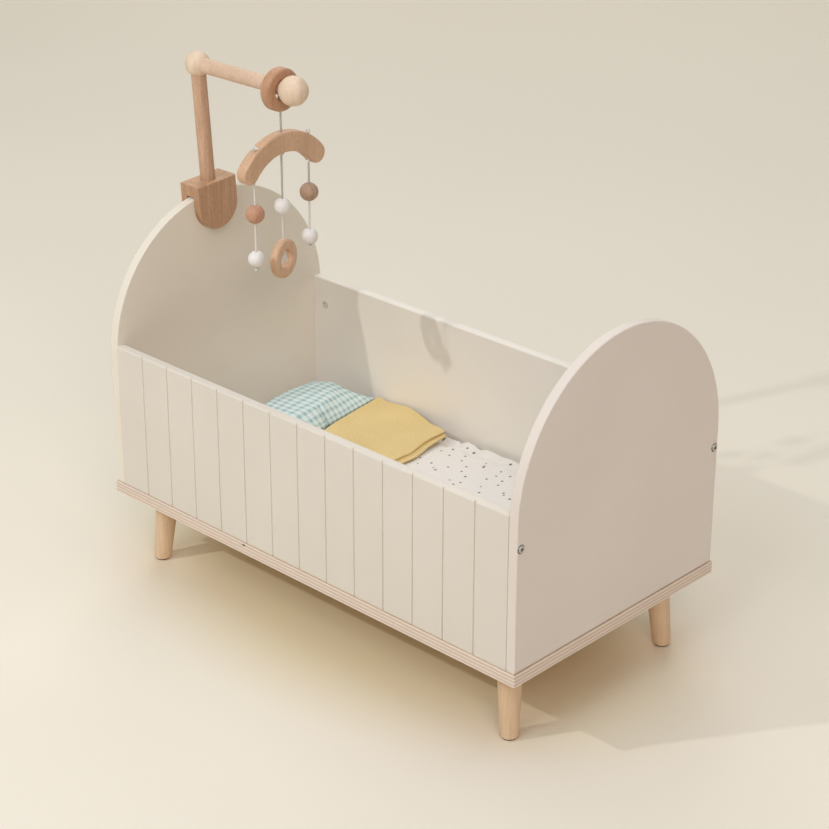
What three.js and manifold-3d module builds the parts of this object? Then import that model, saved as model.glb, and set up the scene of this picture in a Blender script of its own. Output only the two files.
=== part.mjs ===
// A doll cot: two arched end boards and two grooved side panels on a plywood base with four
// splayed legs, bedding inside, and a wooden mobile clamped on the headboard.
// Millimetres, +Z up, +X towards the footboard. The feet stand on z = 0.

import * as THREE from 'three';
import { mergeVertices } from 'three/addons/utils/BufferGeometryUtils.js';
import Module from 'manifold-3d';

const wasm = await Module();
wasm.setup();

// Fits that the whole cot shares
const seatGap = 0.3;
const overrun = 5;

// Boards
const cotLength = 533;
const cotWidth = 280;
const endHeight = 280;
const boardThickness = 10;
const endEdgeRound = 1.2;
const sidePastSpring = 10;
const sideEdgeRound = 2;
const baseThickness = 12;
const baseOverhang = 1.4;

// Grooves that divide a side panel into planks
const plankCount = 14;
const edgePlankExtra = 1.4;
const grooveWidth = 1.6;
const grooveDepth = 1.2;

// Legs, their hanger bolts and the threaded inserts in the base
const legHeight = 77;
const legTopDiameter = 25;
const legFootDiameter = 17.6;
const legFootRound = 2;
const legInset = 37;
const legSplay = THREE.MathUtils.degToRad(4.6);
const studDiameter = 6;
const studInLeg = 22;
const insertDiameter = 9;
const insertRecess = 1;
const insertCover = 2;

// Bolts through the end boards, with barrel nuts in the side panels
const boltDiameter = 4;
const boltHeadDiameter = 7;
const boltHeadHeight = 1.1;
const boltSocketWidth = 3;
const boltSocketDepth = 0.8;
const boltBelowSpring = 20;
const nutDiameter = 7;
const nutLength = 8;
const nutInset = 16.3;
const boltPastNut = 2;

// Countersunk screws that hold the boards down on the base
const screwDiameter = 3.4;
const screwHeadDiameter = 7;
const screwHeadHeight = 2.4;
const screwLength = 32;
const screwPoint = 4;
const sideScrewShare = 0.62;

// Mattress
const mattressHeight = 29.5;
const mattressClearance = 4;
const mattressCrown = 1.6;
const mattressDrawIn = 2;

// Pillow, turned a little and pushed towards the headboard and the back panel
const pillowLength = 162;
const pillowWidth = 83;
const pillowHeight = 27;
const pillowRimHeight = 10;
const pillowDrawIn = 5;
const pillowTurn = THREE.MathUtils.degToRad(6);
const pillowFromHead = 66.3;
const pillowFromBack = 92.5;

// Folded blanket, lying across the mattress with its open edges towards the footboard
const blanketWidth = 107;
const blanketClearance = 13;
const blanketHeight = 7;
const blanketCornerLift = 6;
const blanketWave = 0.6;
const blanketFromHead = 169.5;
const blanketSlantShare = 0.105;

// Clamp of the mobile, with a slot that fits over the headboard
const clampLean = THREE.MathUtils.degToRad(3.6);
const clampWidth = 50;
const clampWeb = 11.7;
const jawDrop = 38;
const innerJaw = 8.2;
const outerJaw = 9;
const clampEdgeRound = 1.2;
const slotClearance = 0.4;

// Post, arm and balls
const dowelDiameter = 15;
const postSeatDepth = 8.5;
const postRise = 120;
const armReach = 136;
const elbowBallDiameter = 25;
const endBallDiameter = 29;
const tenonDiameter = 8;
const tenonLength = 6;

// Ring that hangs loose on the arm, against the end ball
const hangerRingDiameter = 42;
const hangerRingBore = 19.6;
const hangerRingThickness = 12;
const hangerRingRound = 3;

// Cords and knots
const cordDiameter = 2.2;
const knotDiameter = 4.6;
const knotFlatShare = 0.6;
const stubOut = 0.5;
const hangerDrop = 20.7;

// Arched bar
const barRadius = 58.4;
const barHalfSpan = 45;
const barBand = 20;
const barThickness = 12;
const barEdgeRound = 2;
const barTurn = THREE.MathUtils.degToRad(2.3);
const stringOffset = 37;

// Beads and the ring pendant, placed by their drops below the crown of the bar
const woodBeadDiameter = 18.5;
const whiteBeadDiameter = 16.5;
const leftWoodDrop = 73.3;
const leftWhiteDrop = 118.8;
const centreWhiteDrop = 74.8;
const pendantDrop = 128.8;
const rightWoodDrop = 69.8;
const rightWhiteDrop = 115.8;
const pendantDiameter = 39;
const pendantBore = 18;
const pendantThickness = 8.5;
const pendantRound = 2.5;
const pendantTurn = THREE.MathUtils.degToRad(14);

// Counts of facets
const archSteps = 24;
const legSides = 20;
const pinSides = 14;
const screwSides = 12;
const ballSides = 20;
const ballSteps = 12;
const beadSides = 16;
const beadSteps = 8;
const ringSides = 28;
const roundSteps = 2;
const knotSides = 10;
const knotSteps = 6;
const cordSides = 8;
const barSteps = 20;
const capSteps = 6;
const hexSides = 6;

// Places worked out from the sizes
const halfLength = cotLength / 2;
const halfWidth = cotWidth / 2;
const baseTop = legHeight + baseThickness;
const boardFoot = baseTop + seatGap;
const springHeight = endHeight - halfWidth;
const archCentre = boardFoot + springHeight;
const sideHeight = springHeight + sidePastSpring;
const headCentre = -halfLength + boardThickness / 2;
const innerHalfLength = halfLength - boardThickness;
const innerHalfWidth = halfWidth - boardThickness;
const sideHalfLength = innerHalfLength - seatGap;
const panelCentre = halfWidth - boardThickness / 2;
const boltHeight = archCentre - boltBelowSpring;
const nutPlace = innerHalfLength - nutInset;
const mattressTop = boardFoot + mattressHeight;
const dowelRadius = dowelDiameter / 2;
const cordRadius = cordDiameter / 2;
const boreRadius = cordRadius + seatGap;
const postPlace = (innerJaw - outerJaw) / 2;

// Materials
function finish(color, roughness, metalness = 0) {
  return new THREE.MeshStandardMaterial({ color, roughness, metalness });
}
const paint = finish(0xe6dccd, 0.55);
const plywood = finish(0xd9bfa4, 0.6);
const legWood = finish(0xdfbb8c, 0.5);
const beech = finish(0xc99870, 0.5);
const paleBeech = finish(0xe3c6a8, 0.5);
const redBeech = finish(0xb98058, 0.5);
const whiteLacquer = finish(0xf3efe9, 0.45);
const cordCotton = finish(0xf2ece2, 0.9);
const steel = finish(0x8d8a86, 0.35, 1);
const brass = finish(0xb08d4f, 0.4, 1);
const sheetCotton = finish(0xf1ede9, 0.9);
const pillowCotton = finish(0x9fd0d2, 0.9);
const blanketCotton = finish(0xe8c878, 0.95);

// Closed mesh with shared corners, ready to cut or join
function closed(geometry) {
  const bare = geometry.clone();
  bare.deleteAttribute('normal');
  bare.deleteAttribute('uv');
  const merged = mergeVertices(bare);
  const corners = Array.from(merged.index.array);
  const kept = [];
  for (let at = 0; at < corners.length; at += 3) {
    const [a, b, c] = corners.slice(at, at + 3);
    if (a !== b && b !== c && c !== a) {
      kept.push(a, b, c);
    }
  }
  merged.setIndex(kept);
  return merged;
}

function solid(geometry) {
  const mesh = closed(geometry);
  return new wasm.Manifold(new wasm.Mesh({
    numProp: 3,
    vertProperties: new Float32Array(mesh.attributes.position.array),
    triVerts: new Uint32Array(mesh.index.array),
  }));
}

function geometryOf(body) {
  const mesh = body.getMesh();
  const geometry = new THREE.BufferGeometry();
  geometry.setAttribute('position', new THREE.BufferAttribute(new Float32Array(mesh.vertProperties), 3));
  geometry.setIndex(Array.from(mesh.triVerts));
  return geometry;
}

function cut(geometry, tools) {
  return geometryOf(tools.reduce((body, tool) => body.subtract(solid(tool)), solid(geometry)));
}

function join(first, second) {
  return geometryOf(solid(first).add(solid(second)));
}

function common(first, second) {
  return geometryOf(solid(first).intersect(solid(second)));
}

function piece(name, geometry, material) {
  const mesh = new THREE.Mesh(closed(geometry).toNonIndexed(), material);
  mesh.geometry.computeVertexNormals();
  mesh.name = name;
  return mesh;
}

// Turned solid on the Z axis from a profile of [radius, height] points, bottom first
function turned(profile, sides) {
  const points = profile.map(([radius, height]) => new THREE.Vector2(radius, height));
  return new THREE.LatheGeometry(points, sides).rotateX(Math.PI / 2);
}

function cylinder(diameter, bottom, top, sides) {
  const radius = diameter / 2;
  return turned([[0, bottom], [radius, bottom], [radius, top], [0, top]], sides);
}

function alongX(geometry) {
  return geometry.rotateY(Math.PI / 2);
}

function alongY(geometry) {
  return geometry.rotateX(-Math.PI / 2);
}

// Turns an outline drawn in Y and Z, and extruded, so that it stands upright along X
function upright(geometry) {
  const y = new THREE.Vector3(0, 1, 0);
  const z = new THREE.Vector3(0, 0, 1);
  const x = new THREE.Vector3(1, 0, 0);
  return geometry.applyMatrix4(new THREE.Matrix4().makeBasis(y, z, x));
}

function bevelled(shape, thickness, round, curveSegments) {
  return new THREE.ExtrudeGeometry(shape, {
    depth: thickness - 2 * round,
    bevelThickness: round,
    bevelSize: round,
    bevelOffset: -round,
    bevelSegments: 2,
    curveSegments,
  }).translate(0, 0, round);
}

function plain(shape, thickness, curveSegments) {
  return new THREE.ExtrudeGeometry(shape, { depth: thickness, bevelEnabled: false, curveSegments });
}

function block(sizeX, sizeY, sizeZ) {
  return new THREE.BoxGeometry(sizeX, sizeY, sizeZ);
}

// Quarter circle of points round [across, up], from one angle to the next
function arc(across, up, radius, from, to, steps) {
  const points = [];
  for (let step = 0; step <= steps; step += 1) {
    const angle = from + (to - from) * step / steps;
    points.push([across + radius * Math.cos(angle), up + radius * Math.sin(angle)]);
  }
  return points;
}

// Screws that hold the boards down
const screwPlaces = [];
for (const side of [-1, 1]) {
  for (const end of [-1, 1]) {
    screwPlaces.push([end * sideScrewShare * halfLength, side * panelCentre]);
  }
}
for (const end of [-1, 1]) {
  screwPlaces.push([end * (halfLength - boardThickness / 2), 0]);
}

const screwFoot = legHeight + seatGap;
const screwTip = screwFoot + screwLength;

function screwGeometry() {
  const radius = screwDiameter / 2;
  const head = screwHeadDiameter / 2;
  return turned([
    [0, screwFoot],
    [head, screwFoot],
    [radius, screwFoot + screwHeadHeight],
    [radius, screwTip - screwPoint],
    [0, screwTip],
  ], screwSides);
}

// Clearance that a screw needs in the boards that it passes
function screwHole([x, y]) {
  const radius = screwDiameter / 2 + seatGap;
  const head = screwHeadDiameter / 2 + seatGap;
  return turned([
    [0, legHeight - overrun],
    [head, legHeight - overrun],
    [head, screwFoot],
    [radius, screwFoot + screwHeadHeight],
    [radius, screwTip + seatGap],
    [0, screwTip + seatGap],
  ], screwSides).translate(x, y, 0);
}

// Leg axes: each leans outwards on its way down, from a point under the base
const legPlaces = [];
for (const end of [-1, 1]) {
  for (const side of [-1, 1]) {
    const name = `${side < 0 ? 'front' : 'back'}_${end < 0 ? 'head' : 'foot'}`;
    const x = end * (halfLength + baseOverhang - legInset);
    const y = side * (halfWidth + baseOverhang - legInset);
    const lean = new THREE.Vector3(-end * Math.tan(legSplay), -side * Math.tan(legSplay), 1).normalize();
    legPlaces.push({ name, x, y, lean });
  }
}

// Moves something made on the Z axis, with z = 0 under the base, onto a leg's axis
function onLeg(geometry, leg) {
  const up = new THREE.Vector3(0, 0, 1);
  geometry.applyQuaternion(new THREE.Quaternion().setFromUnitVectors(up, leg.lean));
  return geometry.translate(leg.x, leg.y, legHeight);
}

const insertLength = baseThickness - insertCover - insertRecess;

function insertHole(leg) {
  const top = insertRecess + insertLength + seatGap;
  return onLeg(cylinder(insertDiameter + 2 * seatGap, -overrun, top, pinSides), leg);
}

// A leg's two ends are level, so its round sections slide sideways on their way down. It is
// sawn off at the floor, which leaves a sole with no point in its middle.
function legGeometry(leg) {
  const foot = legFootDiameter / 2;
  const body = turned([
    [0, -legHeight - overrun],
    [foot - legFootRound, -legHeight - overrun],
    ...arc(foot - legFootRound, legFootRound - legHeight, legFootRound, -Math.PI / 2, 0, roundSteps),
    [legTopDiameter / 2, -seatGap],
    [0, -seatGap],
  ], legSides);
  const slide = new THREE.Matrix4().set(
    1, 0, leg.lean.x / leg.lean.z, leg.x,
    0, 1, leg.lean.y / leg.lean.z, leg.y,
    0, 0, 1, legHeight,
    0, 0, 0, 1,
  );
  const bore = cylinder(studDiameter + 2 * seatGap, -studInLeg - seatGap, overrun, pinSides);
  const sawn = block(2 * legTopDiameter, 2 * legTopDiameter, 2 * overrun);
  sawn.translate(leg.x, leg.y, -overrun);
  return cut(body.applyMatrix4(slide), [onLeg(bore, leg), sawn]);
}

function legPieces(leg) {
  const stud = cylinder(studDiameter, -studInLeg, insertRecess + insertLength, pinSides);
  const outer = cylinder(insertDiameter, insertRecess, insertRecess + insertLength, pinSides);
  const thread = cylinder(studDiameter + 2 * seatGap, -overrun, baseThickness, pinSides);
  return [
    piece(`leg_${leg.name}`, legGeometry(leg), legWood),
    piece(`leg_bolt_${leg.name}`, onLeg(stud, leg), steel),
    piece(`leg_insert_${leg.name}`, onLeg(cut(outer, [thread]), leg), brass),
  ];
}

// Base board
function basePiece() {
  const length = cotLength + 2 * baseOverhang;
  const width = cotWidth + 2 * baseOverhang;
  const board = block(length, width, baseThickness).translate(0, 0, legHeight + baseThickness / 2);
  const holes = [...screwPlaces.map(screwHole), ...legPlaces.map(insertHole)];
  return piece('base_board', cut(board, holes), plywood);
}

// End boards: a half circle on a square
function endPiece(name, end) {
  const shape = new THREE.Shape();
  shape.moveTo(-halfWidth, 0);
  shape.lineTo(halfWidth, 0);
  shape.lineTo(halfWidth, endHeight - halfWidth);
  shape.absarc(0, endHeight - halfWidth, halfWidth, 0, Math.PI, false);
  const outerFace = end < 0 ? -halfLength : innerHalfLength;
  const board = upright(bevelled(shape, boardThickness, endEdgeRound, archSteps));
  board.translate(outerFace, 0, boardFoot);
  const holes = screwPlaces.filter(([, y]) => y === 0).map(screwHole);
  for (const side of [-1, 1]) {
    const hole = alongX(cylinder(boltDiameter + 2 * seatGap, -overrun, boardThickness + overrun, pinSides));
    holes.push(hole.translate(outerFace, side * panelCentre, boltHeight));
  }
  return piece(name, cut(board, holes), paint);
}

// Side panels: planks between vertical grooves on the outside, rounded along the top
function sidePiece(name, side) {
  const plan = new THREE.Shape();
  plan.moveTo(-sideHalfLength, -innerHalfWidth);
  plan.lineTo(-sideHalfLength, -halfWidth);
  const pitch = (2 * sideHalfLength - 2 * edgePlankExtra) / plankCount;
  for (let groove = 1; groove < plankCount; groove += 1) {
    const x = -sideHalfLength + edgePlankExtra + groove * pitch;
    plan.lineTo(x - grooveWidth / 2, -halfWidth);
    plan.lineTo(x, -halfWidth + grooveDepth);
    plan.lineTo(x + grooveWidth / 2, -halfWidth);
  }
  plan.lineTo(sideHalfLength, -halfWidth);
  plan.lineTo(sideHalfLength, -innerHalfWidth);
  const planks = plain(plan, sideHeight, 1);

  const section = new THREE.Shape();
  const edge = sideEdgeRound;
  section.moveTo(-halfWidth - overrun, -overrun);
  section.lineTo(-innerHalfWidth, -overrun);
  section.lineTo(-innerHalfWidth, sideHeight - edge);
  section.absarc(-innerHalfWidth - edge, sideHeight - edge, edge, 0, Math.PI / 2, false);
  section.lineTo(-halfWidth + edge, sideHeight);
  section.absarc(-halfWidth + edge, sideHeight - edge, edge, Math.PI / 2, Math.PI, false);
  section.lineTo(-halfWidth, sideHeight - edge - overrun);
  section.lineTo(-halfWidth - overrun, sideHeight - edge - overrun);
  const bar = upright(plain(section, cotLength, roundSteps)).translate(-halfLength, 0, 0);
  const panel = common(planks, bar);
  panel.rotateZ(side < 0 ? 0 : Math.PI);
  panel.translate(0, 0, boardFoot);

  const holes = screwPlaces.filter(([, y]) => y * side > 0).map(screwHole);
  for (const end of [-1, 1]) {
    const reach = nutInset + nutDiameter / 2 + boltPastNut + 2 * seatGap;
    const bore = alongX(cylinder(boltDiameter + 2 * seatGap, -reach, overrun, pinSides));
    bore.rotateZ(end < 0 ? Math.PI : 0);
    holes.push(bore.translate(end * innerHalfLength, side * panelCentre, boltHeight));
    const pocket = alongY(cylinder(nutDiameter + 2 * seatGap, -overrun, nutLength + 2 * seatGap, pinSides));
    pocket.rotateZ(side < 0 ? Math.PI : 0);
    holes.push(pocket.translate(end * nutPlace, side * innerHalfWidth, boltHeight));
  }
  return piece(name, cut(panel, holes), paint);
}

// A bolt through the corner of an end board and the barrel nut that it draws
function boltPieces(end, side) {
  const name = `${side < 0 ? 'front' : 'back'}_${end < 0 ? 'head' : 'foot'}`;
  const radius = boltDiameter / 2;
  const head = boltHeadDiameter / 2;
  const soft = boltHeadHeight / 2;
  const shank = boardThickness + nutInset + nutDiameter / 2 + boltPastNut;
  const socket = cylinder(boltSocketWidth, seatGap + boltHeadHeight - boltSocketDepth, overrun, hexSides);
  const bolt = cut(turned([
    [0, -shank],
    [radius, -shank],
    [radius, seatGap],
    [head, seatGap],
    ...arc(head - soft, seatGap + soft, soft, 0, Math.PI / 2, roundSteps),
    [0, seatGap + boltHeadHeight],
  ], pinSides), [socket]);
  alongX(bolt).rotateZ(end < 0 ? Math.PI : 0);
  bolt.translate(end * halfLength, side * panelCentre, boltHeight);

  const barrel = alongY(cylinder(nutDiameter, 0, nutLength, pinSides));
  const thread = alongX(cylinder(boltDiameter + 2 * seatGap, -nutDiameter, nutDiameter, pinSides));
  const nut = cut(barrel, [thread.translate(0, boardThickness / 2, 0)]);
  nut.rotateZ(side < 0 ? Math.PI : 0);
  nut.translate(end * nutPlace, side * innerHalfWidth, boltHeight);
  return [piece(`panel_bolt_${name}`, bolt, steel), piece(`barrel_nut_${name}`, nut, steel)];
}

// A closed pad whose upper and lower skins meet in a seam round its rim. Places get u and v
// from -1 to 1, closer together towards the rim.
function pad(columns, rows, topAt, bottomAt) {
  const positions = [];
  const upper = [];
  const lower = [];
  const spread = (at, count) => Math.sin((at / count) * Math.PI - Math.PI / 2);
  for (let row = 0; row <= rows; row += 1) {
    for (let column = 0; column <= columns; column += 1) {
      const u = spread(column, columns);
      const v = spread(row, rows);
      const onRim = row === 0 || row === rows || column === 0 || column === columns;
      upper.push(positions.length / 3);
      positions.push(...topAt(u, v));
      lower.push(onRim ? upper.at(-1) : positions.length / 3);
      if (!onRim) {
        positions.push(...bottomAt(u, v));
      }
    }
  }
  const index = [];
  for (let row = 0; row < rows; row += 1) {
    for (let column = 0; column < columns; column += 1) {
      const near = row * (columns + 1) + column;
      const far = near + columns + 1;
      index.push(upper[near], upper[near + 1], upper[far + 1], upper[near], upper[far + 1], upper[far]);
      index.push(lower[near], lower[far + 1], lower[near + 1], lower[near], lower[far], lower[far + 1]);
    }
  }
  const geometry = new THREE.BufferGeometry();
  geometry.setAttribute('position', new THREE.Float32BufferAttribute(positions, 3));
  geometry.setIndex(index);
  return geometry;
}

// Shares that shape the pads
const mattressSquareShare = 14;
const mattressFullShare = 0.5;
const mattressRimShare = 0.45;
const mattressDomeShare = 4;
const pillowSquareShare = 2.6;
const pillowFullShare = 0.45;
const mattressColumns = 16;
const mattressRows = 14;
const pillowColumns = 14;
const pillowRows = 20;

function fullness(u, v, square, full) {
  return ((1 - Math.abs(u) ** square) * (1 - Math.abs(v) ** square)) ** full;
}

function mattressPiece() {
  const halfX = innerHalfLength - mattressClearance;
  const halfY = innerHalfWidth - mattressClearance;
  const rim = mattressHeight * mattressRimShare;
  const plan = (u, v) => [
    u * (halfX - mattressDrawIn * (1 - v * v)),
    v * (halfY - mattressDrawIn * (1 - u * u)),
  ];
  const full = (u, v) => fullness(u, v, mattressSquareShare, mattressFullShare);
  const dome = (u, v) => mattressCrown * (1 - u ** mattressDomeShare) * (1 - v ** mattressDomeShare);
  const top = (u, v) => {
    const edge = mattressHeight - mattressCrown - rim;
    return [...plan(u, v), boardFoot + rim + full(u, v) * edge + dome(u, v)];
  };
  const bottom = (u, v) => [...plan(u, v), boardFoot + rim * (1 - full(u, v))];
  const body = pad(mattressColumns, mattressRows, top, bottom);
  const floor = block(2 * cotLength, 2 * cotWidth, overrun);
  floor.translate(0, 0, boardFoot + seatGap - overrun / 2);
  return piece('mattress', cut(body, [floor]), sheetCotton);
}

function pillowPiece() {
  const halfX = pillowWidth / 2;
  const halfY = pillowLength / 2;
  const plan = (u, v) => [
    u * (halfX - pillowDrawIn * (1 - v * v)),
    v * (halfY - pillowDrawIn * (1 - u * u)),
  ];
  const full = (u, v) => fullness(u, v, pillowSquareShare, pillowFullShare);
  const crown = pillowHeight - pillowRimHeight;
  const top = (u, v) => [...plan(u, v), pillowRimHeight + full(u, v) * crown];
  const bottom = (u, v) => [...plan(u, v), pillowRimHeight - full(u, v) * 2 * pillowRimHeight];
  const body = pad(pillowColumns, pillowRows, top, bottom);
  const floor = block(2 * pillowLength, 2 * pillowLength, pillowHeight);
  floor.translate(0, 0, -pillowHeight / 2);
  const pillow = piece('pillow', cut(body, [floor]), pillowCotton);
  pillow.rotation.z = pillowTurn;
  const x = -innerHalfLength + pillowFromHead;
  const y = innerHalfWidth - pillowFromBack;
  pillow.position.set(x, y, mattressTop + seatGap);
  return pillow;
}

// Section of the folded blanket, as shares of its half width and of its height: the fold is on
// the headboard side, and the upper layer ends short of the lower one on the footboard side
const blanketSectionShares = [
  [-0.97, 0], [-0.5, 0], [0, 0], [0.5, 0], [0.975, 0],
  [1, 0.12], [1, 0.36], [0.975, 0.48], [0.86, 0.5],
  [0.885, 0.6], [0.885, 0.86], [0.86, 0.98],
  [0.5, 1], [0.2, 0.95], [-0.2, 1], [-0.6, 0.97], [-0.93, 1],
  [-0.985, 0.86], [-1, 0.5], [-0.99, 0.16],
];
const blanketRows = 18;
const blanketEndRoundShare = 0.03;
const blanketWaves = 3;
const blanketLiftPower = 3;

function blanketPiece() {
  const halfX = blanketWidth / 2;
  const halfY = innerHalfWidth - blanketClearance;
  const positions = [];
  const index = [];
  const count = blanketSectionShares.length;
  for (let row = 0; row <= blanketRows; row += 1) {
    const v = Math.sin((row / blanketRows) * Math.PI - Math.PI / 2);
    const thin = Math.sqrt(Math.max(1 - Math.abs(v) ** (1 / blanketEndRoundShare), 0));
    const slim = (1 + thin) / 2;
    for (const [across, up] of blanketSectionShares) {
      const middle = blanketHeight / 2;
      const lift = blanketCornerLift * (Math.max(across, 0) * Math.max(v, 0)) ** blanketLiftPower;
      const wave = blanketWave * Math.sin(blanketWaves * (v + across)) * up;
      positions.push(
        halfX * across - blanketSlantShare * halfY * v,
        halfY * v,
        middle + (up * blanketHeight - middle) * slim + lift + wave,
      );
    }
  }
  for (let row = 0; row < blanketRows; row += 1) {
    for (let at = 0; at < count; at += 1) {
      const next = (at + 1) % count;
      const near = row * count;
      const far = near + count;
      index.push(near + at, far + next, near + next, near + at, far + at, far + next);
    }
  }
  const outline = blanketSectionShares.map(
    ([across, up]) => new THREE.Vector2(across * halfX, up * blanketHeight),
  );
  for (const [a, b, c] of THREE.ShapeUtils.triangulateShape(outline, [])) {
    const last = blanketRows * count;
    index.push(a, b, c, last + c, last + b, last + a);
  }
  const geometry = new THREE.BufferGeometry();
  geometry.setAttribute('position', new THREE.Float32BufferAttribute(positions, 3));
  geometry.setIndex(index);
  const blanket = piece('blanket', geometry, blanketCotton);
  blanket.position.set(-innerHalfLength + blanketFromHead, 0, mattressTop + seatGap);
  return blanket;
}

// The clamp leans with the arch: its own upright runs from the arch's centre
const leanGroup = new THREE.Group();
leanGroup.position.set(headCentre, 0, archCentre);
leanGroup.rotation.x = clampLean;

const slotCeiling = halfWidth + seatGap;
const clampTop = slotCeiling + clampWeb;
const slotHalf = boardThickness / 2 + slotClearance;
const ballLift = clampTop + postRise;

function clampPiece() {
  const radius = clampWidth / 2;
  const jawCentre = halfWidth - jawDrop + radius;
  const shape = new THREE.Shape();
  shape.moveTo(radius, clampTop);
  shape.lineTo(-radius, clampTop);
  shape.lineTo(-radius, jawCentre);
  shape.absarc(0, jawCentre, radius, Math.PI, 2 * Math.PI, false);
  const depth = innerJaw + outerJaw + 2 * slotHalf;
  const body = upright(bevelled(shape, depth, clampEdgeRound, barSteps));
  body.translate(-slotHalf - outerJaw, 0, 0);
  const slot = block(2 * slotHalf, 2 * clampWidth, clampWidth + jawDrop);
  slot.translate(0, 0, slotCeiling - (clampWidth + jawDrop) / 2);
  const seat = cylinder(dowelDiameter + 2 * seatGap, clampTop - postSeatDepth, clampTop + overrun, legSides);
  seat.translate(postPlace, 0, 0);
  return piece('mobile_clamp', cut(body, [slot, seat]), beech);
}

// Where a dowel's shoulder meets a ball that is cut flat for it
function flatOf(ballDiameter) {
  return Math.sqrt((ballDiameter / 2) ** 2 - dowelRadius ** 2);
}
const elbowFlat = flatOf(elbowBallDiameter);
const endFlat = flatOf(endBallDiameter);

function postPiece() {
  const tenon = tenonDiameter / 2;
  const shoulder = ballLift - elbowFlat - seatGap;
  const foot = clampTop - postSeatDepth + seatGap;
  const post = piece('mobile_post', turned([
    [0, foot],
    [dowelRadius, foot],
    [dowelRadius, shoulder],
    [tenon, shoulder],
    [tenon, shoulder + tenonLength],
    [0, shoulder + tenonLength],
  ], legSides), beech);
  post.position.x = postPlace;
  return post;
}

function ballGeometry(diameter) {
  return new THREE.SphereGeometry(diameter / 2, ballSides, ballSteps).rotateX(Math.PI / 2);
}

// Cuts a ball flat for a dowel's shoulder on the +Z side, and bores it for the tenon
function ballSeat(ballDiameter, flat) {
  return [
    cylinder(2 * ballDiameter, flat, 2 * ballDiameter, cordSides),
    cylinder(tenonDiameter + 2 * seatGap, flat - tenonLength - seatGap, 2 * ballDiameter, pinSides),
  ];
}

function elbowPiece() {
  const below = ballSeat(elbowBallDiameter, elbowFlat).map((tool) => tool.rotateX(Math.PI));
  const beside = ballSeat(elbowBallDiameter, elbowFlat).map((tool) => alongX(tool));
  const elbow = piece('elbow_ball', cut(ballGeometry(elbowBallDiameter), [...below, ...beside]), paleBeech);
  elbow.position.set(postPlace, 0, ballLift);
  return elbow;
}

leanGroup.add(clampPiece(), postPiece(), elbowPiece());

// Arm, end ball and ring, in the cot's own upright frame
const armX = headCentre + postPlace;
const armY = -ballLift * Math.sin(clampLean);
const armZ = archCentre + ballLift * Math.cos(clampLean);

function armPiece() {
  const tenon = tenonDiameter / 2;
  const start = elbowFlat + seatGap;
  const end = armReach - endFlat - seatGap;
  const arm = piece('mobile_arm', alongX(turned([
    [0, start - tenonLength],
    [tenon, start - tenonLength],
    [tenon, start],
    [dowelRadius, start],
    [dowelRadius, end],
    [tenon, end],
    [tenon, end + tenonLength],
    [0, end + tenonLength],
  ], legSides)), paleBeech);
  arm.position.set(armX, armY, armZ);
  return arm;
}

function endBallPiece() {
  const tools = ballSeat(endBallDiameter, endFlat).map((tool) => alongX(tool).rotateZ(Math.PI));
  const ball = piece('end_ball', cut(ballGeometry(endBallDiameter), tools), paleBeech);
  ball.position.set(armX + armReach, armY, armZ);
  return ball;
}

// Ring with rounded edges on the Z axis, centred on z = 0
function ringGeometry(diameter, bore, thickness, round) {
  const outer = diameter / 2 - round;
  const inner = bore / 2 + round;
  const high = thickness / 2 - round;
  const quarter = Math.PI / 2;
  const profile = [
    ...arc(inner, -high, round, -2 * quarter, -quarter, roundSteps),
    ...arc(outer, -high, round, -quarter, 0, roundSteps),
    ...arc(outer, high, round, 0, quarter, roundSteps),
    ...arc(inner, high, round, quarter, 2 * quarter, roundSteps),
  ];
  return turned([...profile, profile[0]], ringSides);
}

const ringRadius = hangerRingDiameter / 2;
const ringBoreRadius = hangerRingBore / 2;
const ringX = armX + armReach - endFlat - seatGap - hangerRingThickness / 2;
const ringZ = armZ - (ringBoreRadius - dowelRadius - seatGap);
const ringBottom = ringZ - ringRadius;

// A knot: a small ball, flattened along Z
function knotGeometry(diameter, height) {
  return new THREE.SphereGeometry(diameter / 2, knotSides, knotSteps)
    .rotateX(Math.PI / 2)
    .scale(1, 1, height / diameter);
}

function ringPiece() {
  const body = alongX(ringGeometry(hangerRingDiameter, hangerRingBore, hangerRingThickness, hangerRingRound));
  const bore = cylinder(2 * boreRadius, -hangerRingDiameter, 0, knotSides);
  const ring = piece('hanger_ring', cut(body, [bore]), redBeech);
  ring.position.set(ringX, armY, ringZ);
  return ring;
}

// The knot lies in the ring's bore under the arm, and its cord goes through the ring's wall
function ringKnotPiece() {
  const sag = ringBoreRadius - Math.sqrt(ringBoreRadius ** 2 - (knotDiameter / 2) ** 2);
  const room = hangerRingBore - dowelDiameter - seatGap - sag;
  const height = room - 2 * seatGap;
  const floor = ringZ - ringBoreRadius + sag + seatGap;
  const knot = knotGeometry(knotDiameter, height).translate(0, 0, floor + height / 2);
  const stub = cylinder(cordDiameter, ringBottom - stubOut, floor + height / 2, cordSides);
  const whole = piece('ring_knot', join(knot, stub), cordCotton);
  whole.position.set(ringX, armY, 0);
  return whole;
}

// Arched bar, drawn round the centre of its arc
const hangerTop = ringBottom - stubOut - seatGap;
const barCrown = ringBottom - hangerDrop;
const barOuter = barRadius + barBand / 2;
const barInner = barRadius - barBand / 2;
const barArcCentre = barCrown - barOuter;
const cordStepShare = 3;

function cordGeometry(bottom, top) {
  const section = new THREE.Shape();
  for (let side = 0; side < cordSides; side += 1) {
    const angle = 2 * Math.PI * side / cordSides;
    const point = [cordRadius * Math.cos(angle), cordRadius * Math.sin(angle)];
    if (side === 0) {
      section.moveTo(...point);
    } else {
      section.lineTo(...point);
    }
  }
  const steps = Math.ceil((top - bottom) / (cordStepShare * cordDiameter));
  const route = new THREE.LineCurve3(new THREE.Vector3(0, 0, bottom), new THREE.Vector3(0, 0, top));
  return new THREE.ExtrudeGeometry(section, { steps, extrudePath: route, bevelEnabled: false });
}

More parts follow.
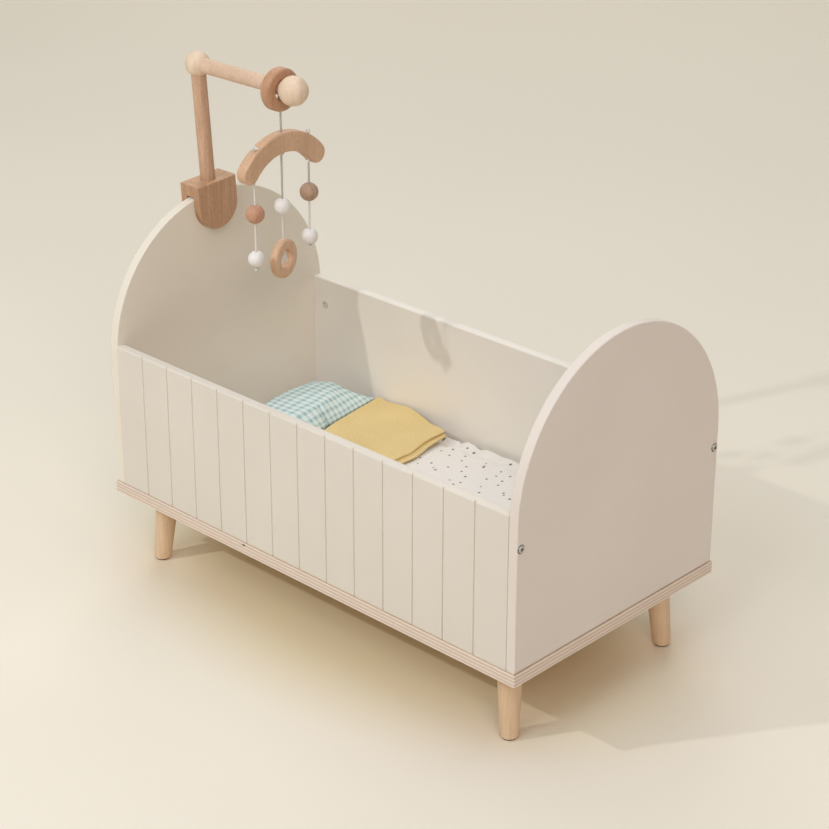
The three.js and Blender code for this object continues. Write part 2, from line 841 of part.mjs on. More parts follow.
function barGeometry() {
  const cap = barBand / 2;
  const reach = Math.asin(barHalfSpan / barRadius);
  const right = Math.PI / 2 - reach;
  const left = Math.PI / 2 + reach;
  const along = [barRadius * Math.cos(right), barRadius * Math.sin(right)];
  const points = [
    ...arc(0, 0, barOuter, right, left, barSteps),
    ...arc(-along[0], along[1], cap, left, left + Math.PI, capSteps).slice(1),
    ...arc(0, 0, barInner, left, right, barSteps).slice(1),
    ...arc(along[0], along[1], cap, right - Math.PI, right, capSteps).slice(1, -1),
  ];
  const shape = new THREE.Shape(points.map(([across, up]) => new THREE.Vector2(across, up)));
  const bar = upright(bevelled(shape, barThickness, barEdgeRound, 1)).translate(-barThickness / 2, 0, 0);
  const holes = [-stringOffset, 0, stringOffset].map(
    (offset) => cylinder(2 * boreRadius, 0, 2 * barRadius, knotSides).translate(0, offset, 0),
  );
  return cut(bar, holes);
}

// Lowest level of the bar round an outer hole, and the level of the knot that sits on top
const stringMouth = Math.sqrt(barInner ** 2 - (stringOffset + boreRadius) ** 2);
const knotLevel = Math.sqrt((barOuter + knotDiameter / 2 + seatGap) ** 2 - stringOffset ** 2);

function barKnotGeometry() {
  const knot = knotGeometry(knotDiameter, knotDiameter).translate(0, 0, knotLevel);
  return join(knot, cylinder(cordDiameter, stringMouth - stubOut, knotLevel, cordSides));
}

const sideStringTop = barArcCentre + stringMouth - stubOut - seatGap;
const centreKnotHeight = knotDiameter * (1 - knotFlatShare / 2);
const centreKnotTop = barArcCentre + barInner - seatGap;
const centreStringTop = centreKnotTop - centreKnotHeight - seatGap;

// A bead with a bore for its string, centred on z = 0
function beadGeometry(diameter) {
  const radius = diameter / 2;
  const mouth = Math.asin(boreRadius / radius);
  const profile = arc(0, 0, radius, mouth - Math.PI / 2, Math.PI / 2 - mouth, beadSteps);
  return turned([...profile, profile[0]], beadSides);
}

function bead(name, diameter, height, material) {
  return piece(name, beadGeometry(diameter).translate(0, 0, height), material);
}

// A string with its wooden bead, its white bead and the knot under them
function stringPieces(name, woodDrop, whiteDrop) {
  const whiteHeight = barCrown - whiteDrop;
  const end = whiteHeight - whiteBeadDiameter / 2;
  const knot = knotGeometry(knotDiameter, knotDiameter).translate(0, 0, end - seatGap - knotDiameter / 2);
  return [
    piece(`${name}_string`, cordGeometry(end, sideStringTop), cordCotton),
    bead(`${name}_wood_bead`, woodBeadDiameter, barCrown - woodDrop, redBeech),
    bead(`${name}_white_bead`, whiteBeadDiameter, whiteHeight, whiteLacquer),
    piece(`${name}_end_knot`, knot, cordCotton),
  ];
}

function pendantPieces() {
  const height = barCrown - pendantDrop;
  const boreTop = height + pendantBore / 2;
  const body = alongX(ringGeometry(pendantDiameter, pendantBore, pendantThickness, pendantRound));
  const hole = cylinder(2 * boreRadius, 0, pendantDiameter, knotSides);
  const pendant = cut(body, [hole]).rotateZ(pendantTurn).translate(0, 0, height);
  const knot = knotGeometry(knotDiameter, knotDiameter);
  knot.translate(0, 0, boreTop - 2 * seatGap - knotDiameter / 2);
  return [
    piece('centre_string', cordGeometry(boreTop, centreStringTop), cordCotton),
    bead('centre_white_bead', whiteBeadDiameter, barCrown - centreWhiteDrop, whiteLacquer),
    piece('pendant_ring', pendant, redBeech),
    piece('pendant_knot', knot, cordCotton),
  ];
}

// Everything that hangs on the ring, on one upright axis
const hangGroup = new THREE.Group();
hangGroup.position.set(ringX, armY, 0);
const centreKnot = knotGeometry(knotDiameter, centreKnotHeight);
hangGroup.add(
  piece('hanger_cord', cordGeometry(centreKnotTop + seatGap, hangerTop), cordCotton),
  piece('hanger_knot', centreKnot.translate(0, 0, centreKnotTop - centreKnotHeight / 2), cordCotton),
  ...pendantPieces(),
);

const barGroup = new THREE.Group();
barGroup.rotation.z = barTurn;
barGroup.add(piece('mobile_bar', barGeometry().translate(0, 0, barArcCentre), beech));
for (const [name, side, woodDrop, whiteDrop] of [
  ['left', -1, leftWoodDrop, leftWhiteDrop],
  ['right', 1, rightWoodDrop, rightWhiteDrop],
]) {
  const sideGroup = new THREE.Group();
  sideGroup.position.y = side * stringOffset;
  sideGroup.add(piece(`${name}_bar_knot`, barKnotGeometry().translate(0, 0, barArcCentre), cordCotton));
  sideGroup.add(...stringPieces(name, woodDrop, whiteDrop));
  barGroup.add(sideGroup);
}
hangGroup.add(barGroup);

// The whole cot
const cot = new THREE.Group();
cot.add(
  basePiece(),
  endPiece('headboard', -1),
  endPiece('footboard', 1),
  sidePiece('front_panel', -1),
  sidePiece('back_panel', 1),
);
for (const leg of legPlaces) {
  cot.add(...legPieces(leg));
}
for (const end of [-1, 1]) {
  for (const side of [-1, 1]) {
    cot.add(...boltPieces(end, side));
  }
}
screwPlaces.forEach(([x, y], at) => {
  const screw = piece(`base_screw_${at + 1}`, screwGeometry(), steel);
  screw.position.set(x, y, 0);
  cot.add(screw);
});
cot.add(mattressPiece(), pillowPiece(), blanketPiece());
cot.add(leanGroup, armPiece(), endBallPiece(), ringPiece(), ringKnotPiece(), hangGroup);

// The clamp stands out past the headboard, so the cot moves along X to centre its outline
const outline = new THREE.Box3().setFromObject(cot, true);
cot.position.x = -(outline.min.x + outline.max.x) / 2;

const whole = new THREE.Group();
whole.add(cot);
whole.updateMatrixWorld(true);
export default whole;
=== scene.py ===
import math

import bmesh
import bpy
from mathutils import Matrix, Vector, noise


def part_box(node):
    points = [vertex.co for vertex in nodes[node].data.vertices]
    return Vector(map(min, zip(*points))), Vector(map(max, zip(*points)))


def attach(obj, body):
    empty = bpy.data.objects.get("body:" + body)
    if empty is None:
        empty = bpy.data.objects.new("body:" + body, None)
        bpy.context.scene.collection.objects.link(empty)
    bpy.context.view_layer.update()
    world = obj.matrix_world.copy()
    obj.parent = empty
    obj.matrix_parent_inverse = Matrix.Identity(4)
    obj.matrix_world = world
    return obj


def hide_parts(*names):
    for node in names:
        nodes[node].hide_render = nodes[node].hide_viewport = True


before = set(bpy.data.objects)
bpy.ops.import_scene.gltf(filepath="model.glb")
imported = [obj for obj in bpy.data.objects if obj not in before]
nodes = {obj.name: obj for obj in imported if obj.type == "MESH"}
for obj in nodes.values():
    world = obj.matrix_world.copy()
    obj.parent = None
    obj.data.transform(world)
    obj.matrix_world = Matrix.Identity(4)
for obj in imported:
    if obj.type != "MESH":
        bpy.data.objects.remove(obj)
scene = bpy.context.scene
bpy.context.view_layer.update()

# ---------------------------------------------------------------- sizes, in metres
mm = 0.001
x_axis, z_axis = Vector((1, 0, 0)), Vector((0, 0, 1))
clearance = 0.3 * mm
cut_past = 2 * mm
touching = 0.001 * mm

end_edge_round = 1.2 * mm
side_edge_round = 2 * mm
base_edge_round = 0.5 * mm
arch_steps = 110
rim_steps = 4
plank_count = 14
planks_join_within = 0.02 * mm
edge_plank_extra = 1.4 * mm
seam_filling = 0.22 * mm
groove_width = 1.5 * mm
groove_depth = 2.4 * mm
# Half a groove, as shares of its half width and of its depth
groove_shares = ((0, 1), (0.6, 0.45), (0.85, 0.12), (1.3, 0))
ply_layers = 7
ply_gap_place = (-71.7 * mm, -141.4 * mm, 9.7 * mm)
ply_gap_size = (2.6 * mm, 9 * mm, 0.9 * mm)

leg_foot_round = 2 * mm
leg_top_ease = 0.4 * mm
leg_top_ease_height = 0.5 * mm
leg_foot_width = 17.6 * mm
leg_top_width = 25 * mm
leg_splay = math.radians(4.6)
leg_inset = 37 * mm
leg_steps = 64
glide_width = 14 * mm
glide_height = 1.2 * mm
glide_ease = 0.3 * mm
glide_steps = 48

bolt_head_width = 7 * mm
bolt_head_height = 1.1 * mm
bolt_head_soft = 0.75 * bolt_head_height
bolt_head_root = 0.2 * mm
bolt_head_lift = 0.05 * mm
bolt_head_steps = 36
bolt_socket_width = 3 * mm
bolt_socket_share = 0.6
bolt_bore_margin = 0.9 * mm
bolt_bore_depth = 1.8 * mm
nut_width = 7 * mm
nut_length = 8 * mm
screw_count = 6
screw_head_width = 7 * mm
screw_head_steps = 48
screw_recess = 2.7 * mm
screw_shank = 2 * mm
screw_rim_height = 0.15 * mm
screw_cross_depth = 1.3 * mm
screw_turn = 0.7

clamp_lean = math.radians(3.6)
clamp_width = 50 * mm
clamp_web = 11.7 * mm
jaw_drop = 38 * mm
inner_jaw = 8.2 * mm
outer_jaw = 9 * mm
slot_width = 10.8 * mm
clamp_edge_round = 1.2 * mm
dowel_width = 15 * mm
dowel_edge_round = 0.8 * mm
dowel_steps = 56
seat_depth = 3 * mm
seat_steps = 48
drill_past = 5 * mm
post_in_seat = 2.5 * mm
post_rise = 120 * mm
arm_reach = 136 * mm
elbow_ball_width = 25 * mm
end_ball_width = 29 * mm
# How far from a ball's middle its dowel ends, as a share of the ball's width
elbow_socket_share = 0.38
end_socket_share = 0.4

hanger_ring_bore = 19.6 * mm
hanger_ring_round = 3 * mm
pendant_width = 39 * mm
pendant_bore = 18 * mm
pendant_thickness = 8.5 * mm
pendant_round = 2.5 * mm
pendant_turn = math.radians(14)
ring_steps = 96
bead_hole_ease = 0.5 * mm
bead_steps, bead_arc_steps = 56, 26
ball_columns, ball_rows = 56, 32

cord_width = 2.2 * mm
cord_lay = 4.6 * mm
cord_strands = 3
cord_strand_relief = 0.07
cord_sides = 15
cord_spacing = 0.45 * mm
cord_hole_width = 3 * mm
knot_width = 5.2 * mm
knot_cord_share = 0.44
knot_steps = 72
knot_sides = 10
bar_radius = 58.4 * mm
bar_band = 20 * mm
bar_half_span = 45 * mm
bar_thickness = 12 * mm
bar_edge_round = 2 * mm
bar_turn = math.radians(2.3)
bar_drill_reach = 60 * mm
bar_drill_steps = 24

pillow_length = 162 * mm
pillow_width = 83 * mm
pillow_turn = math.radians(8)
pillow_shift = 1.9 * mm
blanket_layers = 4
blanket_layer_gap = 1.95 * mm
blanket_cloth = 1 * mm
stitch_pitch, stitch_length, stitch_radius = 3.4 * mm, 2.6 * mm, 0.28 * mm

# Angles in degrees above which an edge stays sharp
board_crease, clamp_crease, turned_crease, cloth_crease, cord_crease = 38, 30, 60, 70, 80

outward_x = {"head": -1, "foot": 1}
outward_y = {"front": -1, "back": 1}
quarters = [(side, end) for side in outward_y for end in outward_x]

# ---------------------------------------------------------------- camera
# The camera as it was fitted to the edges of the cot in the photograph
camera = bpy.data.objects.new("camera", bpy.data.cameras.new("camera"))
camera.location = (1.2940, -1.3426, 1.0718)
camera.rotation_euler = [math.radians(turn) for turn in (67.1710, 0.1832, 44.3149)]
camera.data.sensor_width = 36
camera.data.lens = 93.09
camera.data.shift_x = 0.0362
camera.data.shift_y = -0.1001
camera.data.clip_end = 50
scene.collection.objects.link(camera)
scene.camera = camera
scene.view_settings.view_transform = "Standard"


# ---------------------------------------------------------------- shader helpers
def step(tree, kind, sockets, **settings):
    """One node, with its sockets set to values or joined to other nodes' sockets."""
    made = tree.nodes.new(kind)
    for name, value in settings.items():
        setattr(made, name, value)
    for name, value in sockets.items():
        if isinstance(value, bpy.types.NodeSocket):
            tree.links.new(value, made.inputs[name])
        else:
            made.inputs[name].default_value = value
    return made


def add(tree, kind, sockets=None, **settings):
    """One shader node."""
    return step(tree, "ShaderNode" + kind, sockets or {}, **settings)


def figure(tree, operation, first, second=0.0):
    return add(tree, "Math", {0: first, 1: second}, operation=operation).outputs[0]


def shares_of(tree, *parts):
    """Sum of (socket, share) pairs."""
    total = None
    for socket, share in parts:
        part = figure(tree, "MULTIPLY", socket, share)
        total = part if total is None else figure(tree, "ADD", total, part)
    return total


def between(tree, factor, first, second):
    """Colour between two others, by a factor."""
    ends = [end if isinstance(end, bpy.types.NodeSocket) else (*end, 1) for end in (first, second)]
    return add(tree, "Mix", {0: factor, 6: ends[0], 7: ends[1]}, data_type="RGBA").outputs[2]


def ramp(tree, factor, *stops):
    """Colour by a factor, from (place, colour) pairs."""
    made = add(tree, "ValToRGB", {0: factor})
    for at, (place, colour) in enumerate(stops):
        stop = made.color_ramp.elements[at] if at < 2 else made.color_ramp.elements.new(place)
        stop.position = place
        stop.color = (*colour, 1)
    return made.outputs[0]


black, white = (0, 0, 0), (1, 1, 1)


def finish_of(name, roughness, metallic=0.0, specular=0.5, sheen=0.0):
    """A new material with its tree, its shader and its object coordinates."""
    material = bpy.data.materials.new(name)
    material.use_nodes = True
    tree = material.node_tree
    tree.nodes.clear()
    shader = add(tree, "BsdfPrincipled", {
        "Roughness": roughness, "Metallic": metallic, "Specular IOR Level": specular, "Sheen Weight": sheen,
    })
    end = add(tree, "OutputMaterial")
    tree.links.new(shader.outputs[0], end.inputs[0])
    place = add(tree, "TexCoord").outputs["Object"]
    return material, tree, shader, place


def speckle(tree, place, scale, detail, rough=0.5):
    """Noise with so many lumps to a metre."""
    return add(tree, "TexNoise", {
        "Vector": place, "Scale": scale, "Detail": detail, "Roughness": rough,
    }).outputs[0]


def coloured(tree, shader, colour):
    tree.links.new(colour, shader.inputs["Base Color"])


def uneven_shine(tree, shader, value, low, high):
    """Roughness between two levels, by a value."""
    level = add(tree, "MapRange", {"Value": value, "To Min": low, "To Max": high}).outputs[0]
    tree.links.new(level, shader.inputs["Roughness"])


def relief(tree, shader, height, depth, strength):
    """Bump of a given depth, in metres, on a shader."""
    bump = add(tree, "Bump", {"Height": height, "Distance": depth, "Strength": strength})
    tree.links.new(bump.outputs[0], shader.inputs["Normal"])


def turned_place(tree, place, turn, scale=(1, 1, 1), move=(0, 0, 0)):
    mapping = add(tree, "Mapping", {"Vector": place, "Rotation": turn, "Scale": scale, "Location": move})
    return mapping.outputs[0]


def straight_place(tree, place, scale):
    return turned_place(tree, place, (0, 0, 0), scale)


# ---------------------------------------------------------------- finishes
def wood(name, light, dark, grain, seed, growth_width, fleck_share):
    """Fine-grained wood: growth lines and short flecks, drawn out along its grain."""
    material, tree, shader, place = finish_of(name, 0.5)
    turn = grain.rotation_difference(z_axis).to_euler()
    line_draw, fleck_draw, fleck_dark = 0.07, 0.2, 0.62
    drawn = turned_place(tree, place, turn, (1, 1, line_draw), (seed, seed * 0.37, seed * 0.11))
    lines = add(tree, "TexWave", {
        "Vector": drawn, "Scale": 2 * math.pi / 20 / growth_width, "Distortion": 5.0,
        "Detail": 3.0, "Detail Scale": 0.35, "Detail Roughness": 0.6,
    }, wave_type="RINGS", rings_direction="Z").outputs["Fac"]
    streaks = speckle(tree, drawn, 260.0, 4.0, 0.65)
    broad = speckle(tree, drawn, 28.0, 2.0)
    fleck_place = turned_place(tree, place, turn, (1, 1, fleck_draw), (seed, 0, seed))
    flecks = speckle(tree, fleck_place, 1150.0, 2.0)
    fleck = ramp(tree, flecks, (0.57, black), (0.68, white))
    mixed = shares_of(tree, (lines, 0.06), (streaks, 0.58), (broad, 0.45))
    tone = ramp(tree, mixed, (0.38, light), (0.72, dark))
    flecked = tuple(channel * fleck_dark for channel in dark)
    coloured(tree, shader, between(tree, figure(tree, "MULTIPLY", fleck, fleck_share), tone, flecked))
    uneven_shine(tree, shader, streaks, 0.42, 0.58)
    worn = figure(tree, "SUBTRACT", streaks, figure(tree, "MULTIPLY", fleck, 0.8))
    relief(tree, shader, worn, 0.12 * mm, 0.5)
    return material


def painted(name, colour, shade):
    """Sprayed matt paint on smooth board, with a faint orange peel and a little unevenness."""
    material, tree, shader, place = finish_of(name, 0.5, specular=0.35)
    cloud = speckle(tree, place, 7.0, 3.0)
    grit = speckle(tree, place, 700.0, 2.0)
    peel = speckle(tree, place, 260.0, 2.0, 0.55)
    mixed = shares_of(tree, (cloud, 0.75), (grit, 0.25))
    coloured(tree, shader, ramp(tree, mixed, (0.35, colour), (0.68, shade)))
    uneven_shine(tree, shader, peel, 0.46, 0.6)
    relief(tree, shader, peel, 0.06 * mm, 0.5)
    return material


def ply_edge(name, bottom, thickness):
    """Sawn edge of plywood: thin veneers, dark glue lines and one small gap in a core veneer, whose
    near-black colour is painted shade of its hollow.
    """
    material, tree, shader, place = finish_of(name, 0.62, specular=0.3)
    ripple = speckle(tree, place, 40.0, 3.0)
    height = add(tree, "SeparateXYZ", {0: place}).outputs[2]
    height = figure(tree, "ADD", figure(tree, "SUBTRACT", height, bottom),
                    figure(tree, "MULTIPLY", figure(tree, "SUBTRACT", ripple, 0.5), 0.5 * mm))
    layer = figure(tree, "MULTIPLY", height, ply_layers / thickness)
    part = figure(tree, "FRACT", layer)
    other = figure(tree, "MODULO", figure(tree, "FLOOR", layer), 2.0)
    end_grain = speckle(tree, straight_place(tree, place, (1, 1, 1.6)), 1500.0, 2.0)
    long_grain = speckle(tree, straight_place(tree, place, (0.08, 0.08, 1)), 900.0, 3.0)
    pale = ramp(tree, long_grain, (0.3, (0.91, 0.80, 0.67)), (0.75, (0.82, 0.70, 0.57)))
    dull = ramp(tree, end_grain, (0.3, (0.80, 0.65, 0.54)), (0.7, (0.64, 0.49, 0.40)))
    glue = ramp(tree, part, (0.0, white), (0.16, black))
    glue_share = figure(tree, "MULTIPLY", glue, 0.5)
    colour = between(tree, glue_share, between(tree, other, pale, dull), (0.26, 0.16, 0.11))
    across, along, up = ply_gap_place
    from_gap = add(tree, "VectorMath", {0: place, 1: (across, along, bottom + up)}, operation="SUBTRACT")
    near = add(tree, "VectorMath", {
        0: from_gap.outputs[0], 1: [1 / size for size in ply_gap_size],
    }, operation="MULTIPLY")
    near = add(tree, "VectorMath", {0: near.outputs[0]}, operation="LENGTH").outputs["Value"]
    gap = ramp(tree, near, (0.85, white), (1.1, black))
    # The gap is painted near black as the shade inside it; its depth is only a bump
    coloured(tree, shader, between(tree, gap, colour, (0.045, 0.03, 0.022)))
    worn = figure(tree, "SUBTRACT", figure(tree, "SUBTRACT", end_grain, glue),
                  figure(tree, "MULTIPLY", gap, 4.0))
    relief(tree, shader, worn, 0.15 * mm, 0.6)
    return material


def woven(tree, place, pitch, turn):
    """Plain weave as a height: threads that pass over and under at a pitch."""
    along = turned_place(tree, place, turn, (1 / pitch, 1 / pitch, 1 / pitch))
    parts = add(tree, "SeparateXYZ", {0: along})
    warp, weft = (figure(tree, "SINE", figure(tree, "MULTIPLY", parts.outputs[axis], 2 * math.pi))
                  for axis in (0, 1))
    return figure(tree, "MULTIPLY", warp, weft)


def cloth_of(name, pitch, depth, turn=(0, 0, 0)):
    """A woven cotton with its weave in relief and its place laid flat, its colour still to be joined."""
    material, tree, shader, place = finish_of(name, 0.9, specular=0.2, sheen=0.15)
    flat_place = place.node.outputs["UV"]
    slub = speckle(tree, flat_place, 420.0, 3.0)
    height = figure(tree, "ADD", figure(tree, "MULTIPLY", woven(tree, flat_place, pitch, turn), 0.35), slub)
    relief(tree, shader, height, depth, 0.5)
    return material, tree, shader, flat_place, slub


def gingham(name, pitch):
    """Yarn-dyed check: white, half-toned and full-toned squares."""
    material, tree, shader, place, slub = cloth_of(name, 0.62 * mm, 0.12 * mm)
    wobble = add(tree, "TexNoise", {"Vector": place, "Scale": 60.0, "Detail": 1.0}).outputs[1]
    loose = add(tree, "VectorMath", {0: wobble, 1: (1.6 * mm, 1.6 * mm, 0)}, operation="MULTIPLY").outputs[0]
    shifted = add(tree, "VectorMath", {0: place, 1: loose}, operation="ADD").outputs[0]
    parts = add(tree, "SeparateXYZ", {0: straight_place(tree, shifted, (1 / pitch, 1 / pitch, 1))})
    bands = []
    for axis in (0, 1):
        wave = figure(tree, "PINGPONG", parts.outputs[axis], 0.5)
        bands.append(ramp(tree, figure(tree, "MULTIPLY", wave, 2.0), (0.50, black), (0.64, white)))
    both = figure(tree, "MULTIPLY", figure(tree, "ADD", bands[0], bands[1]), 0.5)
    tone = ramp(tree, both, (0.0, (0.71, 0.82, 0.79)), (0.5, (0.53, 0.69, 0.68)), (1.0, (0.30, 0.45, 0.46)))
    coloured(tree, shader, between(tree, figure(tree, "MULTIPLY", slub, 0.22), tone, (0.80, 0.85, 0.82)))
    return material


def plain_cloth(name, light, dark, pitch, depth, turn=(0, 0, 0)):
    material, tree, shader, place, slub = cloth_of(name, pitch, depth, turn)
    mixed = shares_of(tree, (slub, 0.6), (speckle(tree, place, 22.0, 2.0), 0.4))
    coloured(tree, shader, ramp(tree, mixed, (0.34, light), (0.68, dark)))
    return material


def specked(name, spacing, speck):
    """White cotton printed with small, loose, dark-grey specks."""
    material, tree, shader, place, slub = cloth_of(name, 0.5 * mm, 0.08 * mm)
    cells = add(tree, "TexVoronoi", {
        "Vector": place, "Scale": 1 / spacing, "Randomness": 0.85,
    }, voronoi_dimensions="2D")
    ragged_edge, uneven_size = 0.03, 0.035
    ragged = figure(tree, "MULTIPLY", speckle(tree, place, 500.0, 1.0), ragged_edge)
    reach = figure(tree, "ADD", cells.outputs["Distance"], ragged)
    parts = add(tree, "SeparateColor", {0: cells.outputs["Color"]})
    reach = figure(tree, "ADD", reach, figure(tree, "MULTIPLY", parts.outputs[0], uneven_size))
    edge = speck / spacing / 2 + 0.032
    dots = ramp(tree, reach, (edge * 0.75, white), (edge * 1.2, black))
    ground = ramp(tree, slub, (0.3, (0.88, 0.84, 0.79)), (0.7, (0.82, 0.78, 0.73)))
    coloured(tree, shader, between(tree, dots, ground, (0.13, 0.125, 0.125)))
    return material


def cotton_cord(name, painted_shade_from=1.0):
    """Twisted cotton, greyed above a height as painted shade."""
    material, tree, shader, place = finish_of(name, 0.88, specular=0.2, sheen=0.3)
    fibres = speckle(tree, turned_place(tree, place, (0.5, 0.2, 0), (1, 1, 0.35)), 2600.0, 3.0)
    unshaded_tone = ramp(tree, fibres, (0.3, (0.88, 0.85, 0.79)), (0.7, (0.70, 0.66, 0.59)))
    blend = 2 * mm
    cord_shade = add(tree, "MapRange", {
        "Value": add(tree, "SeparateXYZ", {0: place}).outputs["Z"],
        "From Min": painted_shade_from - blend, "From Max": painted_shade_from + blend, "To Max": 0.5,
    }).outputs[0]
    # Above the height the cord turns halfway to dark grey: painted shade
    coloured(tree, shader, between(tree, cord_shade, unshaded_tone, (0.27, 0.265, 0.22)))
    relief(tree, shader, fibres, 0.12 * mm, 0.8)
    return material


def lacquered(name):
    """White lacquer on turned beads, with the wood's pores faintly showing through."""
    material, tree, shader, place = finish_of(name, 0.38, specular=0.5)
    pores = speckle(tree, turned_place(tree, place, (0.3, 0.5, 0), (1, 1, 0.2)), 900.0, 2.0)
    coloured(tree, shader, ramp(tree, pores, (0.35, (0.90, 0.87, 0.83)), (0.75, (0.82, 0.79, 0.74))))
    relief(tree, shader, pores, 0.03 * mm, 0.4)
    return material


def metal(name, colour, rough):
    """Plated metal with fine turning marks and slight tarnish."""
    material, tree, shader, place = finish_of(name, rough, metallic=1.0)
    stain = speckle(tree, place, 350.0, 3.0)
    marks = speckle(tree, straight_place(tree, place, (0.15, 1, 1)), 2500.0, 2.0)
    dull = tuple(channel * 0.7 for channel in colour)
    coloured(tree, shader, ramp(tree, stain, (0.35, colour), (0.7, dull)))
    uneven_shine(tree, shader, stain, rough - 0.06, rough + 0.14)
    relief(tree, shader, marks, 0.02 * mm, 0.5)
    return material


lean_up = Vector((0, -math.sin(clamp_lean), math.cos(clamp_lean)))
bar_along = Vector((-math.sin(bar_turn), math.cos(bar_turn), 0))
base_low, base_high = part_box("base_board")

# One paint, toned differently on each board as painted light and shade for how each board is lit
board_paints_with_shade = {name: painted(name + "_paint", *tones) for name, tones in {
    "headboard": ((0.89, 0.828, 0.708), (0.85, 0.787, 0.668)),
    "footboard": ((0.838, 0.762, 0.682), (0.798, 0.722, 0.642)),
    "front_panel": ((0.797, 0.74, 0.648), (0.76, 0.703, 0.611)),
    "back_panel": ((0.877, 0.824, 0.735), (0.837, 0.784, 0.695)),
}.items()}
bar_tones = ((0.79, 0.53, 0.34), (0.60, 0.37, 0.22))
pale_tones = ((0.88, 0.71, 0.53), (0.76, 0.57, 0.40))
# Each wood: its light and dark tone, its grain, a seed, the width of its growth lines, its share of flecks
woods = {name: wood(name + "_wood", *tones, *others) for name, tones, *others in (
    ("leg", ((0.84, 0.62, 0.41), (0.70, 0.49, 0.30)), z_axis, 0.13, 3.5 * mm, 0.2),
    ("clamp", ((0.64, 0.39, 0.23), (0.44, 0.24, 0.13)), lean_up, 0.71, 2.2 * mm, 0.6),
    ("post", ((0.68, 0.44, 0.29), (0.50, 0.30, 0.18)), lean_up, 0.23, 2.8 * mm, 0.5),
    ("bar", bar_tones, bar_along, 0.43, 2.4 * mm, 0.45),
    ("arm", ((0.78, 0.57, 0.42), (0.64, 0.44, 0.30)), x_axis, 0.57, 2.8 * mm, 0.4),
    ("elbow", pale_tones, lean_up, 0.91, 3 * mm, 0.3),
    ("end", pale_tones, x_axis, 0.19, 3 * mm, 0.3),
    ("ring", ((0.60, 0.34, 0.20), (0.42, 0.21, 0.11)), z_axis, 0.67, 2.2 * mm, 0.5),
    ("pendant", bar_tones, z_axis, 0.83, 2.2 * mm, 0.6),
    ("left", ((0.66, 0.37, 0.24), (0.48, 0.24, 0.14)), x_axis, 0.37, 2.4 * mm, 0.5),
    ("right", ((0.54, 0.37, 0.25), (0.36, 0.22, 0.14)), x_axis, 0.53, 2.4 * mm, 0.5),
)}
base_face = wood("base_face", (0.72, 0.56, 0.43), (0.55, 0.39, 0.27), x_axis, 0.31, 4 * mm, 0.25)
base_edge = ply_edge("base_edge", base_low.z, base_high.z - base_low.z)
bead_lacquer = lacquered("bead_lacquer")
cord_cotton = cotton_cord("cord_cotton")
steel = metal("steel", (0.56, 0.55, 0.53), 0.28)
bright_steel = metal("bright_steel", (0.86, 0.83, 0.78), 0.32)
brass = metal("brass", (0.62, 0.45, 0.20), 0.36)
# Near-black felt for the leg glides, in part painted contact shadow under the feet
felt_and_contact_shade = plain_cloth("felt_and_contact_shade", (0.075, 0.058, 0.045), (0.05, 0.04, 0.032), 0.5 * mm, 0.1 * mm)
pillow_cotton = gingham("pillow_cotton", 7.2 * mm)
blanket_cotton = plain_cloth("blanket_cotton", (0.80, 0.62, 0.29), (0.70, 0.53, 0.225),
                             0.7 * mm, 0.16 * mm, (0, 0, 0.8))
sheet_cotton = specked("sheet_cotton", 16 * mm, 2.4 * mm)
hem_thread = plain_cloth("hem_thread", (0.72, 0.50, 0.18), (0.60, 0.40, 0.13), 0.4 * mm, 0.05 * mm)


# ---------------------------------------------------------------- mesh helpers
def shown(name, bm, *materials):
    """An object at the origin from a bmesh."""
    mesh = bpy.data.meshes.new(name)
    bm.to_mesh(mesh)
    bm.free()
    for material in materials:
        mesh.materials.append(material)
    return linked(name, mesh)


def linked(name, mesh):
    made = bpy.data.objects.new(name, mesh)
    scene.collection.objects.link(made)
    return made


def points_of(name, places, edges=()):
    """An object of points only, for a geometry tree to grow on."""
    mesh = bpy.data.meshes.new(name)
    mesh.from_pydata(places, edges, [])
    return linked(name, mesh)


def plain(obj):
    """Turns an object with modifiers into a plain mesh."""
    graph = bpy.context.evaluated_depsgraph_get()
    graph.update()
    mesh = bpy.data.meshes.new_from_object(obj.evaluated_get(graph), depsgraph=graph)
    obj.modifiers.clear()
    old = obj.data
    obj.data = mesh
    bpy.data.meshes.remove(old)
    return obj


def smooth(obj, crease=board_crease):
    """Smooth faces, with edges above a crease angle kept sharp and flat faces kept flat."""
    obj.data.polygons.foreach_set("use_smooth", [True] * len(obj.data.polygons))
    obj.data.set_sharp_from_angle(angle=math.radians(crease))
    weights = obj.modifiers.new("weights", "WEIGHTED_NORMAL")
    weights.keep_sharp = True
    return plain(obj)


def fit(obj, body, slot, *replaced):
    """Gives a finished piece its body and hides the solids that it stands for. Its slot is not used."""
    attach(obj, body)
    if replaced:
        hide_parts(*replaced)
    return obj


def moved(bm, *matrices):
    for matrix in matrices:
        bmesh.ops.transform(bm, matrix=matrix, verts=bm.verts)
    return bm


def facing(direction):
    """Matrix that turns the Z axis to a direction."""
    return z_axis.rotation_difference(direction).to_matrix().to_4x4()


def middle(node):
    low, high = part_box(node)
    return (low + high) / 2


def joined(*meshes):
    """One bmesh from several."""
    whole = bmesh.new()
    for bm in meshes:
        part = bpy.data.meshes.new("part")
        bm.to_mesh(part)
        bm.free()
        whole.from_mesh(part)
        bpy.data.meshes.remove(part)
    return whole


def block(centre, size):
    bm = bmesh.new()
    bmesh.ops.create_cube(bm, size=1, matrix=Matrix.LocRotScale(centre, None, size))
    return bm


def arc(across, up, radius, start, end, steps):
    turns = [start + (end - start) * at / steps for at in range(steps + 1)]
    return [(across + radius * math.cos(turn), up + radius * math.sin(turn)) for turn in turns]


def round_row(bm, steps, height, reach_at):
    """Points round the Z axis at a height. reach_at gives their distance from it by the angle."""
    row = []
    for at in range(steps):
        angle = 2 * math.pi * at / steps
        reach = reach_at(angle)
        row.append(bm.verts.new((reach * math.cos(angle), reach * math.sin(angle), height)))
    return row


